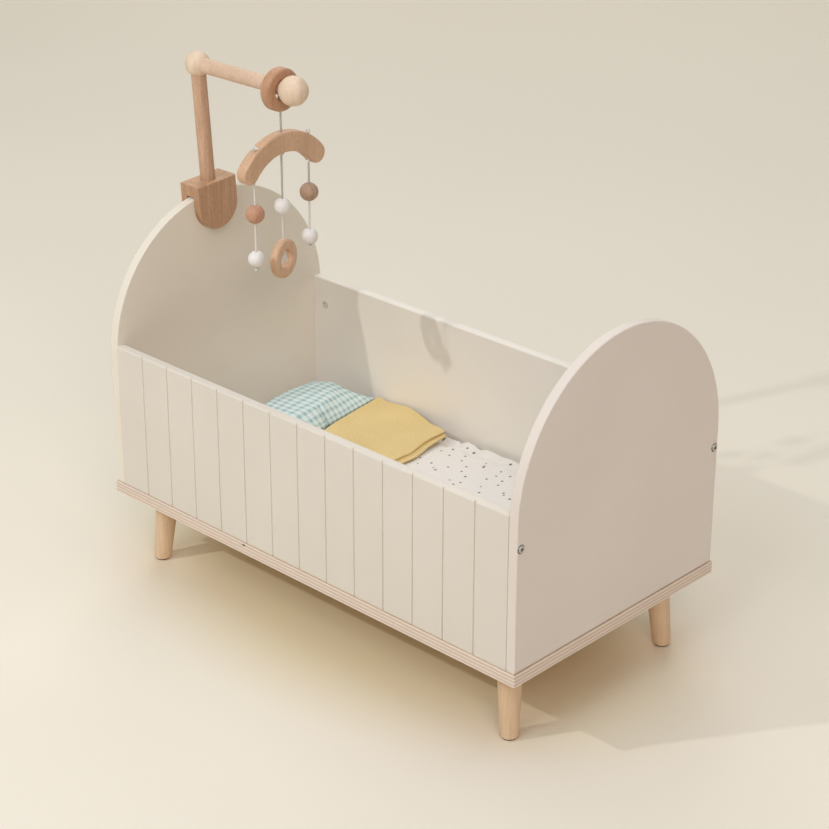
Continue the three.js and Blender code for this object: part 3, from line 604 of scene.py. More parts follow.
def walled(bm, rows, closed=False, capped=False):
    """Faces from each row of points to the next, where a row of one point is a tip."""
    for low, high in zip(rows, rows[1:] + rows[:1] if closed else rows[1:]):
        steps = max(len(low), len(high))
        for at in range(steps):
            after = (at + 1) % steps
            spots = ((low, at), (low, after), (high, after), (high, at))
            corners = list(dict.fromkeys(row[spot % len(row)] for row, spot in spots))
            if len(corners) > 2:
                bm.faces.new(corners)
    if capped:
        bm.faces.new(rows[0][::-1])
        bm.faces.new(rows[-1])
    bmesh.ops.recalc_face_normals(bm, faces=bm.faces)
    return bm


def turned(profile, steps, ring=False):
    """Turns (radius, height) points round the Z axis. With ring, the last point joins the first."""
    bm = bmesh.new()
    rows = [round_row(bm, steps if radius else 1, height, lambda angle: radius) for radius, height in profile]
    return walled(bm, rows, closed=ring)


def sawn(outline, thickness, edge_round):
    """A board upright in Y and Z, from x = 0 to its thickness, with rounded rims."""
    bm = bmesh.new()
    near, far = ([bm.verts.new((x, y, z)) for y, z in outline] for x in (0, thickness))
    bm.faces.new(near)
    bm.faces.new(far[::-1])
    walled(bm, [near, far])
    sides = set(near), set(far)
    rims = [edge for edge in bm.edges if any(set(edge.verts) <= side for side in sides)]
    bmesh.ops.bevel(bm, geom=rims, offset=edge_round, offset_type="OFFSET", segments=rim_steps, profile=0.5,
                    affect="EDGES", clamp_overlap=True)
    return bm


def cylinder(width, start, end, steps=32):
    return turned([(0, start), (width / 2, start), (width / 2, end), (0, end)], steps)


def cut(obj, *tools):
    """Cuts tools, given as bmeshes, out of an object."""
    for tool in tools:
        cutter = shown("cutter", tool)
        hollow = obj.modifiers.new("hollow", "BOOLEAN")
        hollow.operation = "DIFFERENCE"
        hollow.solver = "EXACT"
        hollow.object = cutter
        plain(obj)
        mesh = cutter.data
        bpy.data.objects.remove(cutter)
        bpy.data.meshes.remove(mesh)
    return obj


# ---------------------------------------------------------------- growing repeated pieces
def sized_tree(name, sizes):
    """A geometry tree with named inputs, and its group input and output."""
    tree = bpy.data.node_groups.new(name, "GeometryNodeTree")
    tree.interface.new_socket("Geometry", in_out="INPUT", socket_type="NodeSocketGeometry")
    for label, kind in sizes.items():
        tree.interface.new_socket(label, in_out="INPUT", socket_type="NodeSocket" + kind)
    tree.interface.new_socket("Geometry", in_out="OUTPUT", socket_type="NodeSocketGeometry")
    return tree, tree.nodes.new("NodeGroupInput"), tree.nodes.new("NodeGroupOutput")


def grown(tree, copies, finish, out, join_within=None):
    """Ends a tree: makes its copies real, joins them where asked, and gives them their material."""
    last = step(tree, "GeometryNodeRealizeInstances", {0: copies.outputs[0]})
    if join_within:
        last = step(tree, "GeometryNodeMergeByDistance", {0: last.outputs[0], "Distance": join_within})
    last = step(tree, "GeometryNodeSetMaterial", {0: last.outputs[0], "Material": finish})
    tree.links.new(last.outputs[0], out.inputs[0])
    return tree


def grow(obj, tree, values):
    """Runs a geometry tree on an object with these values, and keeps the result as a plain mesh."""
    growth = obj.modifiers.new(tree.name, "NODES")
    growth.node_group = tree
    for item in tree.interface.items_tree:
        if item.in_out == "INPUT" and item.name in values:
            growth[item.identifier] = values[item.name]
    return plain(obj)


def plank_row_tree():
    """Planks side by side at a pitch, joined where they touch."""
    tree, given, out = sized_tree("plank_row", {
        "Planks": "Int", "Pitch": "Float", "Join within": "Float", "Paint": "Material",
    })
    offset = step(tree, "ShaderNodeCombineXYZ", {"X": given.outputs["Pitch"]})
    line = step(tree, "GeometryNodeMeshLine", {
        "Count": given.outputs["Planks"], "Offset": offset.outputs[0],
    }, mode="OFFSET")
    planks = step(tree, "GeometryNodeInstanceOnPoints", {
        "Points": line.outputs[0], "Instance": given.outputs[0],
    })
    return grown(tree, planks, given.outputs["Paint"], out, given.outputs["Join within"])


def fastener_tree():
    """One fastener on each point, turned as the point says."""
    tree, given, out = sized_tree("fasteners", {"Fastener": "Object", "Scale": "Float", "Finish": "Material"})
    info = step(tree, "GeometryNodeObjectInfo", {"Object": given.outputs["Fastener"]})
    turn = step(tree, "GeometryNodeInputNamedAttribute", {"Name": "turn"}, data_type="FLOAT_VECTOR")
    size = step(tree, "ShaderNodeCombineXYZ", {axis: given.outputs["Scale"] for axis in "XYZ"})
    placed = step(tree, "GeometryNodeInstanceOnPoints", {
        "Points": given.outputs[0], "Instance": info.outputs["Geometry"],
        "Rotation": turn.outputs[0], "Scale": size.outputs[0],
    })
    return grown(tree, placed, given.outputs["Finish"], out)


def stitch_tree():
    """Stitches at a pitch along a line of points, lying along it."""
    tree, given, out = sized_tree("stitches", {
        "Pitch": "Float", "Length": "Float", "Thickness": "Float", "Thread": "Material",
    })
    length, thickness = given.outputs["Length"], given.outputs["Thickness"]
    line = step(tree, "GeometryNodeMeshToCurve", {0: given.outputs[0]})
    spaced = step(tree, "GeometryNodeResampleCurve", {
        "Curve": line.outputs[0], "Length": given.outputs["Pitch"],
    }, mode="LENGTH")
    tangent = step(tree, "GeometryNodeInputTangent", {})
    turn = step(tree, "FunctionNodeAlignEulerToVector", {"Vector": tangent.outputs[0]}, axis="Z")
    thread = step(tree, "GeometryNodeMeshIcoSphere", {"Radius": thickness, "Subdivisions": 1})
    half = figure(tree, "MULTIPLY", figure(tree, "DIVIDE", length, thickness), 0.5)
    size = step(tree, "ShaderNodeCombineXYZ", {"X": 1.0, "Y": 1.0, "Z": half})
    placed = step(tree, "GeometryNodeInstanceOnPoints", {
        "Points": spaced.outputs[0], "Instance": thread.outputs[0],
        "Rotation": turn.outputs[0], "Scale": size.outputs[0],
    })
    return grown(tree, placed, given.outputs["Thread"], out)


plank_growth = plank_row_tree()
fastener_growth = fastener_tree()
stitch_growth = stitch_tree()


def fasteners(name, template, places, finish, body, slot, *replaced):
    """Copies a template bmesh to each (place, turn) and makes one piece of them."""
    pattern = shown("pattern", template)
    made = points_of(name, [place for place, _ in places])
    turns = made.data.attributes.new("turn", "FLOAT_VECTOR", "POINT")
    turns.data.foreach_set("vector", [value for _, turn in places for value in turn])
    grow(made, fastener_growth, {"Fastener": pattern, "Scale": 1.0, "Finish": finish})
    bpy.data.objects.remove(pattern)
    return fit(smooth(made), body, slot, *replaced)


# ---------------------------------------------------------------- cords and knots
def strand_radius(angle, along):
    """Outline of a cord of twisted strands."""
    lobe = math.cos(cord_strands * angle + 2 * math.pi * along / cord_lay)
    return cord_width / 2 * (1 - cord_strand_relief + cord_strand_relief * lobe)


def tube(points, radius_at=strand_radius, sides=cord_sides, closed=False):
    """A tube round points. radius_at gives its radius from the angle and the distance along."""
    bm = bmesh.new()
    rows = []
    normal = None
    along = 0.0
    count = len(points)
    for at, point in enumerate(points):
        before = points[at - 1] if at or closed else point
        after = points[(at + 1) % count] if at < count - 1 or closed else point
        tangent = (after - before).normalized()
        if normal is None:
            normal = tangent.orthogonal().normalized()
        normal = (normal - tangent * normal.dot(tangent)).normalized()
        side = tangent.cross(normal)
        along += (point - points[at - 1]).length if at else 0.0
        row = []
        for turn in range(sides):
            angle = 2 * math.pi * turn / sides
            out = normal * math.cos(angle) + side * math.sin(angle)
            row.append(bm.verts.new(point + out * radius_at(angle, along)))
        rows.append(row)
    return walled(bm, rows, closed, capped=not closed)


def straight(top, bottom):
    count = max(int((top - bottom).length / cord_spacing), 2)
    return [top.lerp(bottom, at / count) for at in range(count + 1)]


def bent(points, steps=10):
    """A smooth line through a few points, for a cord's loose end."""
    line = []
    count = len(points)
    vectors = [Vector(point) for point in points]
    for at in range(count - 1):
        p0 = vectors[max(at - 1, 0)]
        p1, p2 = vectors[at], vectors[at + 1]
        p3 = vectors[min(at + 2, count - 1)]
        for part in range(steps):
            t = part / steps
            line.append(0.5 * (2 * p1 + (p2 - p0) * t + (2 * p0 - 5 * p1 + 4 * p2 - p3) * t ** 2
                               + (3 * p1 - p0 - 3 * p2 + p3) * t ** 3))
    line.append(vectors[-1])
    return line


def knot_mesh(centre, height, turn):
    """A thumb knot pulled tight: one closed loop of cord laced through itself."""
    radius = cord_width * knot_cord_share
    reach = (knot_width / 2 - radius) / 3
    rise = height / 2 - radius
    points = []
    for at in range(knot_steps):
        angle = 2 * math.pi * at / knot_steps
        x = math.sin(angle) + 2 * math.sin(2 * angle)
        y = math.cos(angle) - 2 * math.cos(2 * angle)
        spot = Vector((x * reach, y * reach, -math.sin(3 * angle) * rise))
        spot.rotate(Matrix.Rotation(turn, 3, "Z"))
        points.append(centre + spot)
    return tube(points, lambda angle, along: radius, knot_sides, closed=True)


def knot_piece(node, body, height, turn, tails=(), through_wood=False):
    """A knot in the place of its solid, with its cut ends, and with its cord's way on through the wood."""
    low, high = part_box(node)
    spot = (low + high) / 2
    foot = Vector((spot.x, spot.y, low.z))
    if through_wood:
        spot.z = high.z - height / 2
    parts = [knot_mesh(spot, height, turn)]
    if through_wood:
        parts.append(tube(straight(spot, foot)))
    parts += [tube([spot + point * mm for point in bent(tail)]) for tail in tails]
    made = smooth(shown(node + "_tied", joined(*parts), cord_cotton), cord_crease)
    return fit(made, body, "cord_cotton", node)


def cord_piece(node, body, *knots, cotton=cord_cotton):
    """A straight hanging cord on its solid's line. The knots given to it are not used."""
    low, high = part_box(node)
    centre = (low + high) / 2
    top, bottom = Vector((centre.x, centre.y, high.z)), Vector((centre.x, centre.y, low.z))
    path = straight(top, bottom)
    made = smooth(shown(node + "_twist", tube(path), cotton), cord_crease)
    fit(made, body, "cord_cotton", node)
    return made


# Knots with their heights and turns, and with their tails in mm from the knot's middle
hanger_knot = knot_piece("hanger_knot", "hanger", 3.2 * mm, 0.4)
knot_piece("ring_knot", "ring", 4.4 * mm, 1.1, [
    [(0.5, 0.5, 0), (2.5, 2, 1.2), (5, 2.6, 1.0)],
], through_wood=True)
pendant_knot = knot_piece("pendant_knot", "centre_drop", 4.6 * mm, 0.2, [
    [(0.4, 0.6, -0.8), (1.4, 1.8, -3.2), (0.8, 3.2, -6.6), (1.6, 3.4, -10.2)],
    [(-0.4, -0.6, -0.8), (0.4, -1.6, -3.6), (1.2, -1.9, -7.4)],
])
left_end_knot = knot_piece("left_end_knot", "left_drop", 4.4 * mm, 0.7)
right_end_knot = knot_piece("right_end_knot", "right_drop", 4.4 * mm, 1.9)
knot_piece("left_bar_knot", "bar", 4.6 * mm, 0.3, [
    [(1, 0, 0), (3, 1, 0.4), (4.6, 2.2, -0.6)],
], through_wood=True)
knot_piece("right_bar_knot", "bar", 3.4 * mm, 1.3, [
    [(1, 0, -0.6), (2.2, -1.0, -0.8), (3.2, -1.6, -1.2)],
], through_wood=True)

# The hanger cord, and the centre and right strings above their beads, are greyed as painted shade
hanger_cotton = cotton_cord("cord_cotton_hanger", 0.0)
centre_cotton = cotton_cord("cord_cotton_centre", middle("centre_white_bead").z)
right_cotton = cotton_cord("cord_cotton_right", middle("right_wood_bead").z)
cord_piece("hanger_cord", "hanger", hanger_knot, cotton=hanger_cotton)
cord_piece("centre_string", "centre_drop", pendant_knot, cotton=centre_cotton)
cord_piece("left_string", "left_drop", left_end_knot)
cord_piece("right_string", "right_drop", right_end_knot, cotton=right_cotton)


# ---------------------------------------------------------------- boards
def end_board(end):
    """A half circle on a square, rounded along its rims, with a shallow bore round each bolt."""
    name = end + "board"
    low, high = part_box(name)
    radius = (high.y - low.y) / 2
    outline = [(low.y, low.z), (high.y, low.z)] + arc(0, high.z - radius, radius, 0, math.pi, arch_steps)
    bm = moved(sawn(outline, high.x - low.x, end_edge_round), Matrix.Translation((low.x, 0, 0)))
    made = shown(name + "_painted", bm, board_paints_with_shade[name])
    outwards = outward_x[end]
    face = high.x if outwards > 0 else low.x
    bores = []
    for side in outward_y:
        spot = middle(f"panel_bolt_{side}_{end}")
        bore = cylinder(bolt_head_width + 2 * bolt_bore_margin, -bolt_bore_depth, cut_past)
        bores.append(moved(bore, facing(outwards * x_axis), Matrix.Translation((face, spot.y, spot.z))))
    return fit(smooth(cut(made, *bores)), "cot", "painted_board", name)


def edge_inset(level, height):
    """How far the rounding along a side panel's upper edge takes its faces in, at a level."""
    past = min(max(level - (height - side_edge_round), 0), side_edge_round)
    return side_edge_round - math.sqrt(side_edge_round ** 2 - past ** 2)


def plank(height, thickness, pitch):
    """One plank with half a groove at either side, open at its sides: x from 0, y from -thickness to 0."""
    front = [(groove_width / 2 * across, groove_depth * deep) for across, deep in groove_shares]
    front += [(pitch - across, deep) for across, deep in reversed(front)]
    upper_edge = arc(0, height - side_edge_round, side_edge_round, 0, math.pi / 2, 6)
    bm = bmesh.new()
    rows = []
    for level in [0.0] + [up for _, up in upper_edge]:
        inset = edge_inset(level, height)
        outer = [bm.verts.new((x, -thickness + max(deep, inset), level)) for x, deep in front]
        inner = [bm.verts.new((x, -inset, level)) for x in (pitch, 0)]
        rows.append((outer, inner))
    for (outer_low, inner_low), (outer_high, inner_high) in zip(rows, rows[1:]):
        for low, high in ((outer_low, outer_high), (inner_low, inner_high)):
            for at in range(len(low) - 1):
                bm.faces.new((low[at], low[at + 1], high[at + 1], high[at]))
    for outer, inner in (rows[0], rows[-1]):
        bm.faces.new(outer + inner)
    bmesh.ops.recalc_face_normals(bm, faces=bm.faces)
    return bm


def side_panel(side):
    """A board divided into planks by grooves on its outside, with pockets for the barrel nuts inside."""
    name = side + "_panel"
    outwards = outward_y[side]
    paint = board_paints_with_shade[name]
    low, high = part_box(name)
    length, thickness, height = high - low
    pitch = (length - 2 * edge_plank_extra) / plank_count
    made = shown(name + "_painted", plank(height, thickness, pitch), paint)
    grow(made, plank_growth, {
        "Planks": plank_count, "Pitch": pitch, "Join within": planks_join_within, "Paint": paint,
    })
    bm = bmesh.new()
    bm.from_mesh(made.data)
    run = pitch * plank_count
    for vert in bm.verts:
        near_end = vert.co.x < groove_width or vert.co.x > run - groove_width
        if near_end and vert.co.y < -thickness / 2:
            vert.co.y = -thickness + edge_inset(vert.co.z, height)
        if vert.co.x < touching:
            vert.co.x -= edge_plank_extra + seam_filling
        if vert.co.x > run - touching:
            vert.co.x += edge_plank_extra + seam_filling
    bmesh.ops.holes_fill(bm, edges=[edge for edge in bm.edges if edge.is_boundary])
    inner_face = high.y if outwards < 0 else low.y
    moved(bm, Matrix.Translation((-run / 2, 0, 0)), Matrix.Rotation(0 if outwards < 0 else math.pi, 4, "Z"),
          Matrix.Translation(((low.x + high.x) / 2, inner_face, low.z)))
    bmesh.ops.recalc_face_normals(bm, faces=bm.faces)
    bm.to_mesh(made.data)
    bm.free()
    pockets = []
    for end in outward_x:
        spot = middle(f"barrel_nut_{side}_{end}")
        pocket = cylinder(nut_width + 2 * clearance, -cut_past, nut_length + clearance)
        place = Matrix.Translation((spot.x, inner_face, spot.z))
        pockets.append(moved(pocket, facing(Vector((0, outwards, 0))), place))
    return fit(smooth(cut(made, *pockets)), "cot", "painted_board", name)


for end in outward_x:
    end_board(end)
for side in outward_y:
    side_panel(side)


# ---------------------------------------------------------------- base, legs and fasteners
screw_nodes = [f"base_screw_{number}" for number in range(1, screw_count + 1)]
bolt_nodes = [f"panel_bolt_{side}_{end}" for side, end in quarters]


def base_piece():
    """The plywood base, with a countersunk recess for each screw."""
    bm = block((base_low + base_high) / 2, base_high - base_low)
    bmesh.ops.bevel(bm, geom=bm.edges[:], offset=base_edge_round, segments=3, profile=0.5, affect="EDGES")
    made = shown("base_board_sawn", bm, base_face, base_edge)
    rim, outside = screw_head_width / 2 + clearance, -1 * mm
    recesses = []
    for node in screw_nodes:
        spot = middle(node)
        recess = turned([(0, outside), (rim, outside), (rim, clearance), (screw_shank, screw_recess),
                         (0, screw_recess)], 32)
        recesses.append(moved(recess, Matrix.Translation((spot.x, spot.y, base_low.z))))
    cut(made, *recesses)
    for face in made.data.polygons:
        face.material_index = 0 if abs(face.normal.z) > 0.9 else 1
    return fit(smooth(made), "cot", "plywood", "base_board")


def leg_piece(side, end):
    """A tapered leg on a dark felt glide, whose level round sections slide outwards on their way down. The
    glide's near-black tone is in part painted contact shadow under the foot.
    """
    name = f"leg_{side}_{end}"
    foot, top, pad = leg_foot_width / 2, leg_top_width / 2, glide_width / 2
    height = base_low.z
    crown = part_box(name)[1].z - height
    sole = glide_height - height
    soft = leg_foot_round
    profile = [(0, sole)] + arc(foot - soft, soft + sole, soft, -math.pi / 2, 0, 6)
    profile += [(top - leg_top_ease, crown - leg_top_ease_height),
                (top - 2 * leg_top_ease, crown), (0, crown)]
    glide = turned([(0, -height), (pad - glide_ease, -height), (pad, glide_ease - height),
                    (pad, sole + glide_ease), (0, sole + glide_ease)], glide_steps)
    for face in glide.faces:
        face.material_index = 1
    away_x, away_y = outward_x[end], outward_y[side]
    slant = Matrix.Identity(4)
    slant[0][2] = -away_x * math.tan(leg_splay)
    slant[1][2] = -away_y * math.tan(leg_splay)
    centre_x = (base_low.x + base_high.x) / 2
    spot = Vector((centre_x + away_x * ((base_high.x - base_low.x) / 2 - leg_inset),
                   away_y * (base_high.y - leg_inset), height))
    bm = moved(joined(turned(profile, leg_steps), glide), slant, Matrix.Translation(spot))
    made = shown(name + "_turned", bm, woods["leg"], felt_and_contact_shade)
    return fit(smooth(made), "cot", "leg_wood", name)


def bolt_head():
    """A button head with a six-sided socket, rising along +X from x = 0."""
    rim = bolt_head_width / 2 - bolt_head_soft
    profile = [(bolt_head_width / 2, -bolt_bore_depth - bolt_head_root)]
    profile += arc(rim, bolt_head_height - bolt_head_soft, bolt_head_soft, 0, math.pi / 2, 5)

    def socket(angle):
        return bolt_socket_width / 2 / math.cos(angle % (math.pi / 3) - math.pi / 6)

    bm = bmesh.new()
    rows = [round_row(bm, bolt_head_steps, height, lambda angle: radius) for radius, height in profile]
    rows += [round_row(bm, bolt_head_steps, height, socket)
             for height in (bolt_head_height, -bolt_bore_depth * bolt_socket_share)]
    return moved(walled(bm, rows, capped=True), facing(x_axis))


def screw_head():
    """A countersunk head with a cross recess, facing -Z from z = 0."""
    radius = screw_head_width / 2

    def cross(angle):
        return radius * (0.16 + 0.4 * abs(math.cos(2 * angle)) ** 3)

    bm = bmesh.new()
    rows = [round_row(bm, screw_head_steps, height, lambda angle: radius * share)
            for share, height in ((0.45, -screw_recess), (0.98, -screw_rim_height), (1.0, 0.0))]
    rows += [round_row(bm, screw_head_steps, height, cross) for height in (0.0, -screw_cross_depth)]
    return moved(walled(bm, rows, capped=True), Matrix.Rotation(math.pi, 4, "X"))


def refinish(finish, name):
    """A better material on a solid whose shape is right."""
    materials = nodes[name].data.materials
    materials.clear()
    materials.append(finish)


base_piece()
bolt_places = []
for side, end in quarters:
    leg_piece(side, end)
    refinish(bright_steel, f"barrel_nut_{side}_{end}")
    refinish(steel, f"leg_bolt_{side}_{end}")
    refinish(brass, f"leg_insert_{side}_{end}")
    outwards = outward_x[end]
    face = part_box("footboard")[1].x if outwards > 0 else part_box("headboard")[0].x
    spot = middle(f"panel_bolt_{side}_{end}")
    spot.x = face + outwards * bolt_head_lift
    bolt_places.append((spot, (0, 0, 0 if outwards > 0 else math.pi)))
fasteners("bolt_heads", bolt_head(), bolt_places, steel, "cot", "steel", *bolt_nodes)

screw_places = [(Vector((middle(node).x, middle(node).y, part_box(node)[0].z)), (0, 0, screw_turn * at))
                for at, node in enumerate(screw_nodes)]
fasteners("screw_heads", screw_head(), screw_places, steel, "cot", "steel", *screw_nodes)

# ---------------------------------------------------------------- mobile
arch_low, arch_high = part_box("headboard")
arch_radius = (arch_high.y - arch_low.y) / 2
arch_centre = Vector(((arch_low.x + arch_high.x) / 2, 0, arch_high.z - arch_radius))
leaning = Matrix.Translation(arch_centre) @ Matrix.Rotation(clamp_lean, 4, "X")
clamp_top = arch_radius + clearance + clamp_web
post_x = (inner_jaw - outer_jaw) / 2
ball_lift = clamp_top + post_rise
elbow_centre = leaning @ Vector((post_x, 0, ball_lift))
end_centre = elbow_centre + x_axis * arm_reach


def finished(name, bm, finish, crease, body, slot, node):
    """A piece of one material from its bmesh."""
    return fit(smooth(shown(name, bm, finish), crease), body, slot, node)


def clamp_piece():
    """A block with a round jaw on either side of the slot that takes the headboard's arch."""
    radius = clamp_width / 2
    jaw_centre = arch_radius - jaw_drop + radius
    outline = [(radius, clamp_top), (-radius, clamp_top)]
    outline += arc(0, jaw_centre, radius, math.pi, 2 * math.pi, 48)
    bm = sawn(outline, slot_width + inner_jaw + outer_jaw, clamp_edge_round)
    moved(bm, Matrix.Translation((-slot_width / 2 - outer_jaw, 0, 0)))
    made = shown("clamp_sawn", moved(bm, leaning), woods["clamp"])
    height = jaw_drop + clamp_width
    slot = block(Vector((0, 0, arch_radius + clearance - height / 2)),
                 Vector((slot_width, 2 * clamp_width, height)))
    seat = cylinder(dowel_width + 2 * clearance, clamp_top - seat_depth, clamp_top + drill_past, seat_steps)
    moved(seat, Matrix.Translation((post_x, 0, 0)))
    cut(made, moved(slot, leaning), moved(seat, leaning))
    return fit(smooth(made, clamp_crease), "mobile", "beech", "mobile_clamp")


def dowel(name, start, end, finish, slot, node):
    """A round rod from one point to another, with softened ends."""
    length = (end - start).length
    radius, soft = dowel_width / 2, dowel_edge_round
    profile = [(0, 0), (radius - soft, 0)] + arc(radius - soft, soft, soft, -math.pi / 2, 0, 4)[1:]
    profile += arc(radius - soft, length - soft, soft, 0, math.pi / 2, 4) + [(0, length)]
    bm = moved(turned(profile, dowel_steps), facing((end - start).normalized()), Matrix.Translation(start))
    return finished(name, bm, finish, board_crease, "mobile", slot, node)


def ball(name, centre, width, finish, node):
    bm = bmesh.new()
    bmesh.ops.create_uvsphere(bm, u_segments=ball_columns, v_segments=ball_rows, radius=width / 2)
    moved(bm, facing(x_axis), Matrix.Translation(centre))
    return finished(name, bm, finish, turned_crease, "mobile", "pale_beech", node)


def bead(side, kind, finish, slot):
    """A turned bead on its cord, with eased hole edges."""
    node = f"{side}_{kind}_bead"
    low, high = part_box(node)
    centre, radius = (low + high) / 2, (high.x - low.x) / 2
    hole, ease = cord_hole_width / 2, bead_hole_ease
    start = math.asin((hole + ease) / radius)
    outer = arc(0, 0, radius, -math.pi / 2 + start, math.pi / 2 - start, bead_arc_steps)
    flat = math.sqrt(radius ** 2 - (hole + ease) ** 2)
    profile = outer + [(hole + ease * 0.4, flat - ease * 0.15), (hole, flat - ease), (hole, ease - flat),
                       (hole + ease * 0.4, ease * 0.15 - flat)]
    bm = moved(turned(profile, bead_steps, ring=True), Matrix.Translation(centre))
    return finished(f"{side}_{kind}_turned", bm, finish, turned_crease, side + "_drop", slot, node)


def wooden_ring(name, centre, width, bore, thickness, edge_round, turn, finish, body, node):
    """A flat ring across the X axis with rounded edges."""
    outer, inner, edge = width / 2 - edge_round, bore / 2 + edge_round, thickness / 2 - edge_round
    profile = []
    for quarter, (across, up) in enumerate(((outer, edge), (inner, edge), (inner, -edge), (outer, -edge))):
        start = quarter * math.pi / 2
        profile += arc(across, up, edge_round, start, start + math.pi / 2, 6)
    bm = turned(profile, ring_steps, ring=True)
    moved(bm, facing(x_axis), Matrix.Rotation(turn, 4, "Z"), Matrix.Translation(centre))
    return finished(name, bm, finish, turned_crease, body, "red_beech", node)


def bar_piece():
    """An arched bar with round ends, sawn from one board."""
    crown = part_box("mobile_bar")[1].z
    spot = middle("hanger_cord")
    centre = crown - bar_radius - bar_band / 2
    reach = math.asin(bar_half_span / bar_radius)
    outer, inner, cap = bar_radius + bar_band / 2, bar_radius - bar_band / 2, bar_band / 2
    right, left = math.pi / 2 - reach, math.pi / 2 + reach

    def round_end(turn, start):
        across, up = bar_radius * math.cos(turn), bar_radius * math.sin(turn)
        return arc(across, up, cap, start, start + math.pi, 16)[1:-1]

    outline = arc(0, 0, outer, right, left, 48) + round_end(left, left)
    outline += arc(0, 0, inner, left, right, 40) + round_end(right, right + math.pi)
    bm = moved(sawn(outline, bar_thickness, bar_edge_round), Matrix.Translation((-bar_thickness / 2, 0, 0)),
               Matrix.Rotation(bar_turn, 4, "Z"), Matrix.Translation((spot.x, spot.y, centre)))
    made = shown("bar_sawn", bm, woods["bar"])
    holes = []
    for at in (middle("left_string"), middle("right_string"), spot):
        hole = cylinder(cord_hole_width, crown - bar_drill_reach, crown + drill_past, bar_drill_steps)
        holes.append(moved(hole, Matrix.Translation((at.x, at.y, 0))))
    return fit(smooth(cut(made, *holes)), "bar", "beech", "mobile_bar")


clamp_piece()
post_foot = leaning @ Vector((post_x, 0, clamp_top - post_in_seat))
post_tip = leaning @ Vector((post_x, 0, ball_lift - elbow_ball_width * elbow_socket_share))
arm_start = elbow_centre + x_axis * elbow_ball_width * elbow_socket_share
arm_end = end_centre - x_axis * end_ball_width * end_socket_share
dowel("post_turned", post_foot, post_tip, woods["post"], "beech", "mobile_post")
dowel("arm_turned", arm_start, arm_end, woods["arm"], "pale_beech", "mobile_arm")
ball("elbow_turned", elbow_centre, elbow_ball_width, woods["elbow"], "elbow_ball")
ball("end_turned", end_centre, end_ball_width, woods["end"], "end_ball")
ring_low, ring_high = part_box("hanger_ring")
wooden_ring("hanger_ring_turned", (ring_low + ring_high) / 2, ring_high.z - ring_low.z, hanger_ring_bore,
            ring_high.x - ring_low.x, hanger_ring_round, 0.0, woods["ring"], "ring", "hanger_ring")
wooden_ring("pendant_turned", middle("pendant_ring"), pendant_width, pendant_bore, pendant_thickness,
            pendant_round, pendant_turn, woods["pendant"], "centre_drop", "pendant_ring")
bar_piece()
for side in ("left", "centre", "right"):
    bead(side, "white", bead_lacquer, "white_lacquer")
for side in ("left", "right"):
    bead(side, "wood", woods[side], "red_beech")


# ---------------------------------------------------------------- bedding
def skins(columns, rows, top, bottom):
    """A closed bag of two skins that meet in a seam, with its flat place kept as UV in metres."""
    bm = bmesh.new()
    flat = bm.loops.layers.uv.new("flat")
    grid = {}
    for part in (1, -1):
        for row in range(rows + 1):
            for column in range(columns + 1):
                rim = row in (0, rows) or column in (0, columns)
                if rim and part < 0:
                    grid[part, row, column] = grid[1, row, column]
                    continue
                u, v = 2 * column / columns - 1, 2 * row / rows - 1
                spot = top(u, v) if part > 0 else bottom(u, v)
                grid[part, row, column] = bm.verts.new(spot)
    width = (grid[1, 0, columns].co - grid[1, 0, 0].co).length
    length = (grid[1, rows, 0].co - grid[1, 0, 0].co).length
    for part in (1, -1):
        for row in range(rows):
            for column in range(columns):
                keys = [(row, column), (row, column + 1), (row + 1, column + 1), (row + 1, column)][::part]
                face = bm.faces.new([grid[part, r, c] for r, c in keys])
                for loop, (r, c) in zip(face.loops, keys):
                    loop[flat].uv = (c / columns * width, r / rows * length)
    return bm


def fullness(u, v, square, power):
    """1 in the middle of a bag and 0 at its rim. A higher square takes the fullness closer to the corners."""
    return (max(1 - abs(u) ** square, 0) * max(1 - abs(v) ** square, 0)) ** power


def crumple(x, y, size, seed):
    """Soft folds from -1 to 1 at a size in metres."""
    place = Vector((x, y, 0)) / size + Vector((seed, seed * 2, seed * 3))
    return noise.fractal(place, 1.0, 2.0, 3, noise_basis="PERLIN_ORIGINAL")


def soften(edge_low, edge_high, value):
    """0 below one edge, 1 above the other, and smooth between them."""
    part = min(max((value - edge_low) / (edge_high - edge_low), 0), 1)
    return part * part * (3 - 2 * part)


def through(table, value):
    """Smooth line through (place, height) pairs, level outside them."""
    if value <= table[0][0]:
        return table[0][1]
    if value >= table[-1][0]:
        return table[-1][1]
    at = max(k for k in range(len(table) - 1) if table[k][0] <= value)
    (x1, y1), (x2, y2) = table[at], table[at + 1]
    (x0, y0), (x3, y3) = table[max(at - 1, 0)], table[min(at + 2, len(table) - 1)]
    t = (value - x1) / (x2 - x1)
    start, stop = (y2 - y0) / (x2 - x0) * (x2 - x1), (y3 - y1) / (x3 - x1) * (x2 - x1)
    return (y1 * (2 * t ** 3 - 3 * t ** 2 + 1) + y2 * (3 * t ** 2 - 2 * t ** 3)
            + start * (t ** 3 - 2 * t ** 2 + t) + stop * (t ** 3 - t ** 2))


